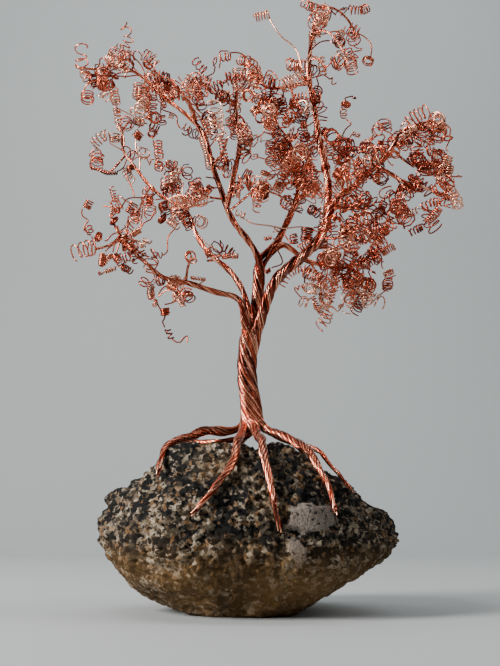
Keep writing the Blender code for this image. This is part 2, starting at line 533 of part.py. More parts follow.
def nearest_on(lines, point):
    """The place on any of these lines that is nearest to the point."""
    best = None
    for line in lines:
        for a, b in zip(line, line[1:]):
            margin = min(0.4, LEAD_INSIDE / (b - a).length)
            share = max(margin, min(1 - margin, (point - a).dot(b - a) / (b - a).length_squared))
            place = a.lerp(b, share)
            if best is None or (place - point).length < (best - point).length:
                best = place
    return best


def curl_route(lead, axis, y_start, y_coil):
    """A coil's lead and axis; the lead runs evenly from one depth to the other."""
    depths = [y_start + (y_coil - y_start) * i / (len(lead) - 1) for i in range(len(lead))]
    return ([Vector((x, y, z)) for (x, z), y in zip(lead, depths)], [Vector((x, y_coil, z)) for x, z in axis])


def curl_tubes(lead, axis, radius, lines):
    """A lead out of the nearest wire of its bundle, and the coil's outer shape round its axis."""
    inside = axis[0] + (axis[1] - axis[0]).normalized() * LEAD_INSIDE
    start = nearest_on(lines, lead[0])
    lead = [start] + [p for p in lead[1:] if (p - start).length > LEAD_SHORT and (p - inside).length > radius]
    lead.append(inside)
    lead, _ = leave_out_straight(lead, lead, LEAD_STRAIGHT)
    return [(lead, [LEAD] * len(lead), LEAD_SIDES), (axis, [radius] * len(axis), COIL_SIDES)]


def material(name, colour, roughness, metallic):
    mat = bpy.data.materials.new(name)
    mat.use_nodes = True
    shader = mat.node_tree.nodes["Principled BSDF"]
    shader.inputs["Base Color"].default_value = (*colour, 1)
    shader.inputs["Roughness"].default_value = roughness
    shader.inputs["Metallic"].default_value = metallic
    return mat


def add_object(name, mesh, mat):
    obj = bpy.data.objects.new(name, mesh)
    bpy.context.scene.collection.objects.link(obj)
    mesh.materials.clear()
    mesh.materials.append(mat)
    return obj


def fuse(body, parts):
    """Unite the body with its twigs and coils, which all grow out of it."""
    extras = bpy.data.collections.new("extras")
    bpy.context.scene.collection.children.link(extras)
    for i, mesh in enumerate(parts):
        extras.objects.link(bpy.data.objects.new(f"extra_{i}", mesh))
    union = body.modifiers.new("unite", "BOOLEAN")
    union.operation = "UNION"
    union.solver = "EXACT"
    union.operand_type = "COLLECTION"
    union.collection = extras
    graph = bpy.context.evaluated_depsgraph_get()
    mesh = bpy.data.meshes.new_from_object(body.evaluated_get(graph))
    body.modifiers.remove(union)
    body.data = mesh
    for obj in list(extras.objects):
        bpy.data.objects.remove(obj)
    bpy.data.collections.remove(extras)


def bundle_tubes(name, rock):
    """Every tube of one bundle: its strand first, then side root, twigs and coils."""
    spec = BUNDLES[name]
    strand, radii = strand_route(name, rock)
    tubes = [(strand, radii, STRAND_SIDES)]
    if "second_root" in spec:
        tubes.append((*second_root(spec["second_root"], rock), STRAND_SIDES))
    for points in spec["twigs"]:
        tubes.append((*leave_out_straight(*twig_route(points, strand)), TWIG_SIDES))
    for *route, radius in CURLS[name]:
        tubes += curl_tubes(*curl_route(*route), radius, [points for points, _, _ in tubes])
    return tubes


def build():
    for obj in list(bpy.data.objects):
        bpy.data.objects.remove(obj)
    rock_bm = rock_mesh()
    rock = BVHTree.FromBMesh(rock_bm)
    add_object("granite_rock", as_mesh(rock_bm), material("granite", (0.35, 0.32, 0.28), 0.85, 0))

    for name in BUNDLES:
        body, *extras = [as_mesh(tube(*piece)) for piece in bundle_tubes(name, rock)]
        obj = add_object(name, body, material(name.replace("bundle", "copper"), (0.75, 0.32, 0.2), 0.32, 1))
        fuse(obj, extras)
        obj.data.shade_smooth()
        obj.data.set_sharp_from_angle(angle=math.radians(50))


build()
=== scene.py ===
"""Copper wire tree on a granite rock: the finished look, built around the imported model.

Every bundle of the tree is drawn wire by wire. Its wires lie in twisted pairs along the root, close up into
the smooth lay of the trunk, part again with the ropes above it, and leave the branch one by one to end in
wound coils. The rock is one fine mesh with the grain of broken granite.

Lengths are in millimetres here and become metres when a mesh is made, except in node trees and the studio,
which are in metres. +Z is up and the front faces -Y.
"""

import math
import random

import bmesh
import bpy
from mathutils import Euler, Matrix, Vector, noise
from mathutils.bvhtree import BVHTree


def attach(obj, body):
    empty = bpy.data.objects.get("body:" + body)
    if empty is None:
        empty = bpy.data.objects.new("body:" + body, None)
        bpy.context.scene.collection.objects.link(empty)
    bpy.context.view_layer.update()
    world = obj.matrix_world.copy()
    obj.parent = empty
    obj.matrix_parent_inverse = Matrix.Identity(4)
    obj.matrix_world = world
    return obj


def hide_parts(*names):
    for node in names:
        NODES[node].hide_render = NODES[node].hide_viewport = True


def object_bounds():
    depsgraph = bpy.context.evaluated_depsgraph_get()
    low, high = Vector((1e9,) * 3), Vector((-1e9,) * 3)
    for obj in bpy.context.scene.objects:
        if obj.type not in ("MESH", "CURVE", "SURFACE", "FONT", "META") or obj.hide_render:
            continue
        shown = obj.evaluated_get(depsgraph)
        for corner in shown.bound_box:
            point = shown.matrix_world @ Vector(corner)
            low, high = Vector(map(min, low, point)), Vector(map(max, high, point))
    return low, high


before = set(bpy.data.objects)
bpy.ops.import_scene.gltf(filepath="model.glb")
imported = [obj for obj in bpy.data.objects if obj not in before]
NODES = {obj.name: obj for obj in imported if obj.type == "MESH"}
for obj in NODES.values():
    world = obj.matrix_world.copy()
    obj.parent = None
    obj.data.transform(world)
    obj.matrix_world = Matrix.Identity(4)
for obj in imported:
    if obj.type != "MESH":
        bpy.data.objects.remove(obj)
CAD_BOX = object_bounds()

MM = 0.001
BODY = "root"           # the one body that every piece rides on
BOX_GAP = 0.4           # how far everything stays inside the solids' box

# ---- rock, as the solid has it: outline from the front (X, Z), and the faces that cut its depth ----
# Most of the outline's points come from a separate fitting program; the faces were set by hand.
ROCK_CENTRE = Vector((0, 0, 30))
ROCK_OUTLINE = [(55.5, 30), (55.5, 33), (53.5, 36), (45, 38.5), (42.5, 40.5), (25, 51), (19.5, 57),
                (15.5, 59.5), (8.5, 60.5), (3, 58), (-15.5, 59), (-20.5, 60.5), (-27.5, 60.5), (-33, 60),
                (-34.5, 57), (-35.5, 54), (-41, 50), (-45, 48.5), (-47.5, 45.5), (-59, 44.5), (-60, 43),
                (-55, 38), (-57.5, 34), (-58.5, 30), (-57.5, 26), (-54, 20.5), (-41, 6.5), (-30, 1),
                (-20, -1.5), (0, -3), (14, -1.5), (25.5, 5), (35, 11.5), (49, 18), (53.5, 22.5)]
ROCK_FACES = [  # azimuth and elevation of the face's normal in degrees, distance from the rock's centre
    (270, 38, 39), (268, -4, 41), (272, -48, 37), (218, 32, 44), (222, -16, 49), (228, -50, 41),
    (318, 30, 42), (318, -10, 47), (312, -48, 41), (90, 40, 37), (92, -2, 39), (88, -50, 36),
    (46, 28, 45), (44, -28, 46), (134, 28, 45), (136, -30, 46)]
ROCK_EDGE = 18          # how crisply the faces meet
CRAG = 1.6              # height of the broken lumps on the rock
CRAG_SIZE = 13          # and the distance between them
RAY_START = 150         # outside the rock, from where a root's places are dropped on it

# ---- trunk, ropes and roots, as the solids have them ----
GAP = 0.3               # between a root and the rock
TRUNK_LINE = [(0.9, 0, 68), (0.65, 0, 73), (0.1, 0, 79), (-0.8, 0, 84.5), (-1.2, 0, 90), (-1.1, 0, 95),
              (-0.1, 0, 102.5), (0.75, 0, 107)]
TRUNK_TURN = -345       # degrees of twist from foot to top
# Share of the trunk's height, and how far the centres of its six outer strands are from its axis there.
TRUNK_RING = [(0, 4.6), (0.05, 3.9), (0.1, 3.3), (0.16, 3.05), (1, 3.05)]
OUTER_STRANDS = 6
MIDDLE = "bundle_high_left"  # its strand rises straight up the middle of the others
MIDDLE_FOOT = 65        # and starts this high, a little under the trunk's foot
TWIG_STEP = 9           # between points of a twig's route
ROOT_SWELL = 1.5        # radius of a root near the trunk
ROOT_TIP = 0.7          # and at its tip
ROOT_RISE = 2.2         # how quickly it reaches its full radius, from the tip
SWELL_RISE = 4          # and how quickly a root that swells further does, near the trunk
SECOND_ROOT = 1.1       # radius of the side root near the trunk

# ---- ringlets: what is drawn at random for each one ----
SEED = 41
GOLDEN = 0.618034       # spreads wires' ends and ringlets evenly
TWIG_SHARE = 0.75       # the outer part of a twig that carries ringlets
FIRST_PLACE = 0.1       # where the first one hangs, as a share of that part from the tip
LEAD_STEP = 1.2         # between points along a ringlet's lead and a free wire
TWIG_LEAD = 0.6         # how far a lead follows its twig
TWIG_AHEAD = (-0.6, 1)  # how far a ringlet heads along its twig
TAIL_LEAD = ((0.8, 2.5), (0.5, 1.5))  # how far a branch wire runs on, and out, before its ringlet
TAIL_HEADING = ((-0.3, 1), (0.4, 1.2))  # how far that ringlet heads along the branch, and out
SCATTER = 0.5           # how far a heading strays
LONG_LEAD = (3, 8)
SHORT_LEAD = (0.2, 1.5)
LONG_SHARE = 0.15       # share of the leads that are long
LEAD_RISE = (-0.4, 0.6)  # how far a lead arches up or down
SINGLE_SHARE = 0.7      # share of the ringlets that hang alone, while the others make a chain of two
CHAIN_LEAD = (1, 3)     # wire between the two of a chain
COIL_LENGTH = (4.5, 11)  # along a ringlet's axis
COIL_BENDS = 4          # bends in it
BEND = 0.5              # the most that it bends sideways each time
BEND_RISE = (-1.3, 0.6)  # and how far up or down, against that
RINGLET = (2.2, 3.4)    # outer radius of the ringlets that aren't in the table
PITCH = (1.4, 1.8, 2.1, 2.6, 3.2)  # from turn to turn
PITCH_SPREAD = (0.9, 1.15)
FEWEST_TURNS = 2.6
MOST_TURNS = 6.5
LEAN = (0.7, 0.9, 1, 1.2)  # how far the loops lean over
LEAN_SPREAD = (0.85, 1.2)
LEAN_SIDE = 0.45        # how much of that is sideways and up
LEAN_FRONT = 0.8        # against how much to the front or back
TABLE_LEAN = (0.75, 1.1)  # how far the loops of the ringlets in the table lean to the front or back
TABLE_SIDE = 0.12       # and how far sideways and up
DEPTH_DRIFT = 1         # how far such a ringlet's far end drifts in depth
WANDER = 0.3            # how unevenly a ringlet is wound, in turns
RING_WAVE = 0.08        # how far its loops are out of round
RING_MEAN = 0.97        # and their mean, as a share of its radius
PHASES = 24             # angles at which a lead may meet its ringlet

# ---- wires ----
WIRE = 0.31             # radius of the wire
TWIG_WIRES = 3          # wires twisted into a twig
TWIG_PITCH = 4.2        # length in which they go once round
STEPS_A_TURN = 10       # points in a turn of a ringlet
LAID_SIDES = 5          # sides of a wire that lies in a strand
CURLED_SIDES = 4        # of a wire in a twig or ringlet
CORE_SIDES = 8          # and of a strand's core, a dark tube of painted shade
FINE = 0.8              # between points along a wire
WIRES = 14              # wires in a strand
LOBES = 2               # the thinner strands that a free strand is twisted from
LOBE_DEPTH = 0.3        # how deep the furrows between them are, as a share of the strand's radius
LAY = 19                # length in which the wires go once round their strand
SECOND_LAY = 0.8        # of that length in the side root
WIRE_INSET = 0.2        # how far the wires' centres stay inside a root's radius
BRANCH_INSET = 0.25     # and inside a branch's
THINNEST = 0.3          # ring of wires at the thinnest
FREE_WOBBLE = 0.16      # how far a wire strays in a free strand
WOBBLE_LENGTH = 3.5     # and the length over which it does
ROPE_WOBBLE = 0.12      # how far it strays in a rope
BLEND = 11              # points over which wires move from one stretch's order to the next
LAYER = 0.44            # an inner layer of wires lies this much deeper in a rope
ROOT_STARTS = (0.32, 1.5)  # share of a root along which its wires start, and how they crowd to its tip
BRANCH_ENDS = (0.72, 1.2)  # share of a branch along which they leave, and how they crowd to its tip
SECOND_STARTS = 0.3     # share of the side root along which its wires start
TAIL_EVERY = 2          # of a branch's wires, every so many ends in a ringlet
LIMB_TAIL_EVERY = 4     # and of a limb's
SHADE_AND_HIGHLIGHT_TONES = (0.15, 0.85)    # of neighbouring wires, from dark to bright: painted shade and highlight
TONE_SPREAD = 0.15
WRAP_TONE = 0.95
CORE_SHADE_TONE = -1          # a tone below 0 is dark: painted shade
CORE_TIP = 0.35         # the dark core's radius at its ends
CORE_RISE = 12          # points over which it thickens from the root's tip
CORE_FALL = 30          # points over which it may thin towards the branch's tip
CORE_SLOPE = 40         # in so many points it would go through all of the branch's taper
# Share of the trunk's height, and how far the outermost wires' centres are from its axis there.
TRUNK_REACH = [(0, 6), (0.07, 4.7), (0.14, 4.15), (0.28, 3.9), (0.49, 3.45), (0.69, 3.6), (0.9, 4.1), (1, 4)]
TRUNK_OUTER = 5         # of a strand's wires, how many lie in the outermost layer of the trunk
ROPE_OUTER = 7          # and of another rope
# The same for ropes, by how many strands they have: share of the rope's length, and reach from its axis.
ROPE_REACH = {1: [(0, 1.2), (1, 1.2)], 2: [(0, 1.9), (1, 1.8)], 3: [(0, 2.6), (0.4, 2.3), (1, 2.2)]}
LAID, TWIG, COIL, CORE = range(4)

# Above the trunk's top its strands part in three ropes: two strands to the left, three that climb on as an
# upper trunk, whose two back strands then carry the centre, and two to the right. Each rope is a line of
# centres, the ring its strands lie on, its twist, and the angle at which each bundle's strand starts.
ROPES = [
    dict(line=[(-1.5, -1.3, 107), (-1.8, -2.3, 110), (-1.9, -2.9, 113), (-2.2, -3, 116)], ring=1.5, turn=-120,
         strands={"bundle_mid_left": 120, "bundle_low_left": 300}),
    dict(line=[(0.75, 1.73, 107), (1.7, 2.8, 110.5), (2.3, 3.1, 114), (2.7, 3, 118), (3.2, 2.8, 123),
               (3.5, 2.8, 128), (4, 2.8, 134)],
         ring=1.73, turn=-360,
         strands={"bundle_back_right": 30, "bundle_centre": 150, "bundle_high_left": 270}),
    dict(line=[(3, -1.3, 107), (4.2, -2.4, 110.5), (5.4, -3.2, 114), (6.8, -4, 118.5), (8.6, -4.8, 123),
               (11.5, -5.6, 127.5), (16, -6.4, 131.5), (20, -7, 134.5), (24.5, -8, 138.5), (27.5, -8.5, 141)],
         ring=1.5, turn=-810, strands={"bundle_crown": 240, "bundle_right": 60}),
    dict(line=[(5.2, 4.3, 137.5), (8, 5.5, 141), (11.5, 7.3, 145)], ring=1.5, turn=-60,
         strands={"bundle_back_right": 20, "bundle_centre": 200})]

# Each bundle: the angle of its strand at the trunk's foot, its root (azimuth, elevation, height over the
# rock) from the trunk outwards and any second root, swell, the root's radius near the trunk where it isn't
# ROOT_SWELL, its branch from the trunk to the tip, radius at both ends of the branch, and its twigs, each a
# route from the branch. The three limbs have a branch and twigs alone. Small programs worked out most of
# these points from places and depths set by eye.
BUNDLES = {
    "bundle_low_left": dict(
        phase=225,
        root=[(241, 78.4, 4.1), (251.6, 69.6, 2.1), (256.6, 59.9, 0.8), (259.6, 47.8, 0.8),
              (261.1, 34.7, 0.2), (255.7, 22.6, 0), (250, 13, 0), (243.4, 5.5, 0)],
        branch=[(-4, -3.2, 118.4), (-6.8, -3.6, 120), (-12, -4.8, 120.7), (-18, -6.5, 122.2), (-25, -9, 124),
                (-32, -11, 124.5), (-37, -13, 127), (-41, -14, 131), (-46, -16, 135), (-50, -18, 140)],
        radii=(1.4, 0.7),
        twigs=[[(-32, -11, 124), (-28, -17, 119), (-25, -20, 115)],
               [(-50, -18, 140), (-53, -22, 135), (-58, -26, 132)],
               [(-50, -18, 140), (-54, -14, 148), (-55, -9, 156)],
               [(-25, -9, 124), (-24, -16, 128), (-22, -23, 130)]]),
    "bundle_mid_left": dict(
        phase=165,
        root=[(176, 76.9, 4.2), (181.9, 68.1, 4.9), (187.4, 61.7, 5), (195.2, 56.1, 2.2), (203, 47.6, 1.1),
              (211, 39, 0.9), (216, 31.9, 0.3), (219.8, 22.2, 0)],
        swell=2,
        branch=[(-1.7, -0.8, 119.5), (-3.2, 1, 124), (-6, 3.4, 129.5), (-9, 5, 133.5), (-12.5, 6, 136.8),
                (-17, 7, 141), (-21, 9, 147), (-24, 11, 154), (-26, 12, 160), (-32, 13, 165), (-38, 15, 169),
                (-43, 16, 174), (-47, 17, 179), (-51, 18, 185), (-55, 19, 190), (-57, 20, 197)],
        radii=(1.35, 0.55),
        twigs=[[(-26, 12, 160), (-28, 17, 168), (-35, 24, 176)],
               [(-18, 8, 142), (-14, 14, 142), (-7, 20, 145)],
               [(-38, 15, 169), (-35, 21, 179), (-34, 25, 187)],
               [(-55, 19, 190), (-59, 21, 186), (-63, 24, 184), (-71, 28, 188)],
               [(-43, 16, 174), (-47, 24, 172), (-50, 31, 168)],
               [(-57, 20, 197), (-57, 23, 204), (-55, 27, 210)]]),
    "bundle_crown": dict(
        phase=285,
        root=[(281, 78.5, 5.3), (280.5, 68.6, 3.9), (280.1, 58.6, 2), (279.6, 47.1, 1.4), (278.6, 33.9, 0.6),
              (280, 24.7, 0), (280.8, 13.5, 0), (282.2, 5, 0), (283.6, -1.3, 0)],
        swell=1.8,
        branch=[(29.5, -6.5, 147), (31, -6.5, 154), (31.5, -7.5, 161), (31, -8, 171), (29, -6, 183),
                (27, -4, 199), (25.5, -2, 211), (25, -1, 221), (26, 1, 231), (27, 2, 239), (29, 3, 249),
                (30, 4, 255)],
        radii=(1.9, 0.7),
        twigs=[[(27, 2, 239), (32, -2, 238), (36, -6, 232), (39, -10, 223)],
               [(30, 4, 253), (37, 6, 254), (43, 9, 251), (47, 12, 246)],
               [(25, 0, 225), (29, -5, 223), (31, -12, 214)]]),
    "bundle_crown_left": dict(
        branch=[(23.5, -2.7, 212.6), (17, -6, 210), (9, -9, 207), (3, -13, 208), (-2, -17, 210)],
        radii=(1, 0.5),
        twigs=[[(9, -9, 207), (8, -13, 198), (10, -17, 189)],
               [(17, -6, 210), (18, -11, 201), (20, -17, 195)]]),
    "bundle_right": dict(
        phase=345,
        root=[(333.4, 76.9, 5.3), (328, 66, 2.7), (323.5, 54.7, 0.9), (313, 41, 0.8), (308.1, 28.7, 0.4),
              (309.5, 18, 0), (308.2, 5.2, 0)],
        second_root=[(327.7, 61.9, 2.5), (329.7, 49.2, 2.7), (329.3, 41.3, 3.4), (327.1, 33.7, 2),
                    (325, 26.1, 0.5), (326.6, 15.2, 0.2)],
        swell=2,
        branch=[(30, -11, 146), (32, -12, 153), (36, -13, 158.5), (42, -14, 162.5), (47, -15, 167),
                (51, -16, 170.5), (55, -17, 174.5), (57, -18, 178.5), (59, -19, 182), (63, -19, 184.5),
                (68, -20, 186)],
        radii=(1.8, 0.7),
        twigs=[[(56, -18, 176), (61, -16, 172), (65, -14, 171), (71, -12, 170), (77, -10, 173),
                (81, -8, 178)],
               [(36, -13, 159), (38, -9, 167), (41, -4, 175), (41, 0, 183)],
               [(42, -14, 162), (44, -19, 166), (45, -24, 171), (47, -29, 173)],
               [(68, -20, 186), (73, -16, 189), (77, -12, 188)],
               [(32, -12, 154), (37, -17, 152), (42, -22, 152), (46, -27, 152)],
               [(29, -10, 142), (33, -15, 140), (38, -19, 141), (43, -24, 143)]]),
    "bundle_right_low": dict(
        branch=[(51.8, -16.9, 168.2), (56, -18, 165), (60, -20, 161), (64, -21, 160), (71, -23, 156),
                (76, -24, 153)],
        radii=(0.9, 0.5),
        twigs=[[(60, -20, 161), (57, -25, 153), (55, -30, 147)]]),
    "bundle_back_right": dict(
        phase=45,
        root=[(37, 77.5, 7), (31, 68, 5), (26, 57, 2), (25, 47, 0.6), (25, 39, 0), (26, 30, 0), (28, 20, 0)],
        branch=[(16, 9.6, 145), (19.5, 11.2, 142.2), (24.5, 13.2, 139.4), (30, 15, 138.5), (36, 18, 138),
                (43, 21, 139.5), (49, 23, 142.5), (55, 26, 148)],
        radii=(1.3, 0.7),
        twigs=[[(25, 13, 139), (28, 9, 132), (29, 5, 125), (28, 2, 120)],
               [(36, 18, 138), (41, 21, 134), (45, 25, 130), (50, 28, 127)],
               [(30, 15, 139), (37, 22, 147), (45, 26, 151), (53, 31, 155), (60, 34, 159)],
               [(43, 21, 139), (47, 16, 134), (52, 12, 129)],
               [(30, 15, 139), (33, 10, 143), (39, 6, 145)],
               [(36, 18, 138), (38, 28, 138), (40, 37, 141)]]),
    "bundle_centre": dict(
        phase=105,
        root=[(108, 79, 4.3), (104, 68, 3.6), (102, 58, 2), (101, 49, 0.6), (100, 40, 0), (100, 31, 0),
              (99, 22, 0), (99, 13, 0)],
        branch=[(13.6, 9.6, 151), (16.5, 11, 158), (20, 13, 167), (21, 16, 177), (21, 18, 185), (19, 20, 193),
                (16, 22, 201)],
        radii=(1.6, 0.7),
        twigs=[[(19, 12, 163), (14, 18, 170), (9, 22, 174), (4, 26, 177)],
               [(21, 16, 177), (26, 22, 187), (28, 28, 198)],
               [(21, 18, 185), (15, 25, 190), (10, 32, 198)],
               [(20, 13, 168), (26, 20, 174), (32, 28, 178)],
               [(16, 22, 200), (11, 18, 206), (9, 14, 212)],
               [(21, 16, 175), (24, 8, 180), (25, 2, 184)]]),
    "bundle_high_left": dict(
        phase=0,
        root=[(178, 81, 1.6), (172, 70, 0.6), (165, 59, 0.5), (158, 49, 1.1), (152, 40, 0.8), (148, 31, 0)],
        swell=1.1,
        branch=[(3, 0, 138), (0.6, -1, 142), (-3, -2, 146.5), (-6.5, -2.6, 151), (-9.5, -3.4, 157),
                (-12, -4.4, 165), (-15, -5.6, 173), (-17, -7, 181), (-19, -7.6, 187), (-22, -8, 191.5),
                (-27, -8, 196.5), (-33, -7, 202), (-38, -7, 206), (-42, -7, 211), (-46, -6, 215),
                (-51, -6, 217.5), (-59, -6, 219), (-66, -5, 218), (-74, -5, 219)],
        radii=(1.4, 0.5),
        twigs=[[(-22, -8, 192), (-25, -13, 198), (-29, -18, 202), (-33, -23, 204)],
               [(-42, -7, 210), (-42, -12, 200), (-40, -17, 190)],
               [(-52, -6, 217), (-56, -1, 224), (-54, 4, 229)],
               [(-15, -6, 174), (-11, -14, 176), (-9, -21, 179)],
               [(-11, -4, 160), (-17, -13, 158), (-21, -21, 158)],
               [(-8, -3, 156), (-3, -12, 157), (1, -19, 158)],
               [(-59, -6, 219), (-60, -12, 213), (-60, -17, 207)],
               [(-33, -7, 202), (-33, 0, 207), (-31, 6, 211)],
               [(-20, -6.5, 193), (-22.5, -9, 195.5), (-24.5, -11, 199), (-27, -13, 202),
                (-29.5, -15, 205)]]),
    "bundle_upright": dict(
        branch=[(-8.5, 2, 164.5), (-7.5, 3, 169), (-6.5, 4.5, 176), (-5, 6.5, 184.5), (-4.5, 8, 192),
                (-5.5, 10, 200), (-6, 12, 208), (-6, 14, 217.5), (-6, 16, 226.5)],
        radii=(1.4, 0.7),
        twigs=[[(-6, 13, 212), (-12, 10, 212), (-16, 7, 213.5), (-19, 4, 216), (-23, 2, 216)],
               [(-5, 7, 186), (-1.5, 4, 187.5), (1, 2, 190)]]),
}

# Where the limbs' wires come out of the branch that they leave.
LIMB_STARTS = {"bundle_upright": (-9.5, -3, 158), "bundle_crown_left": (25.8, -1.6, 214.5),
               "bundle_right_low": (50, -15.8, 169.5)}

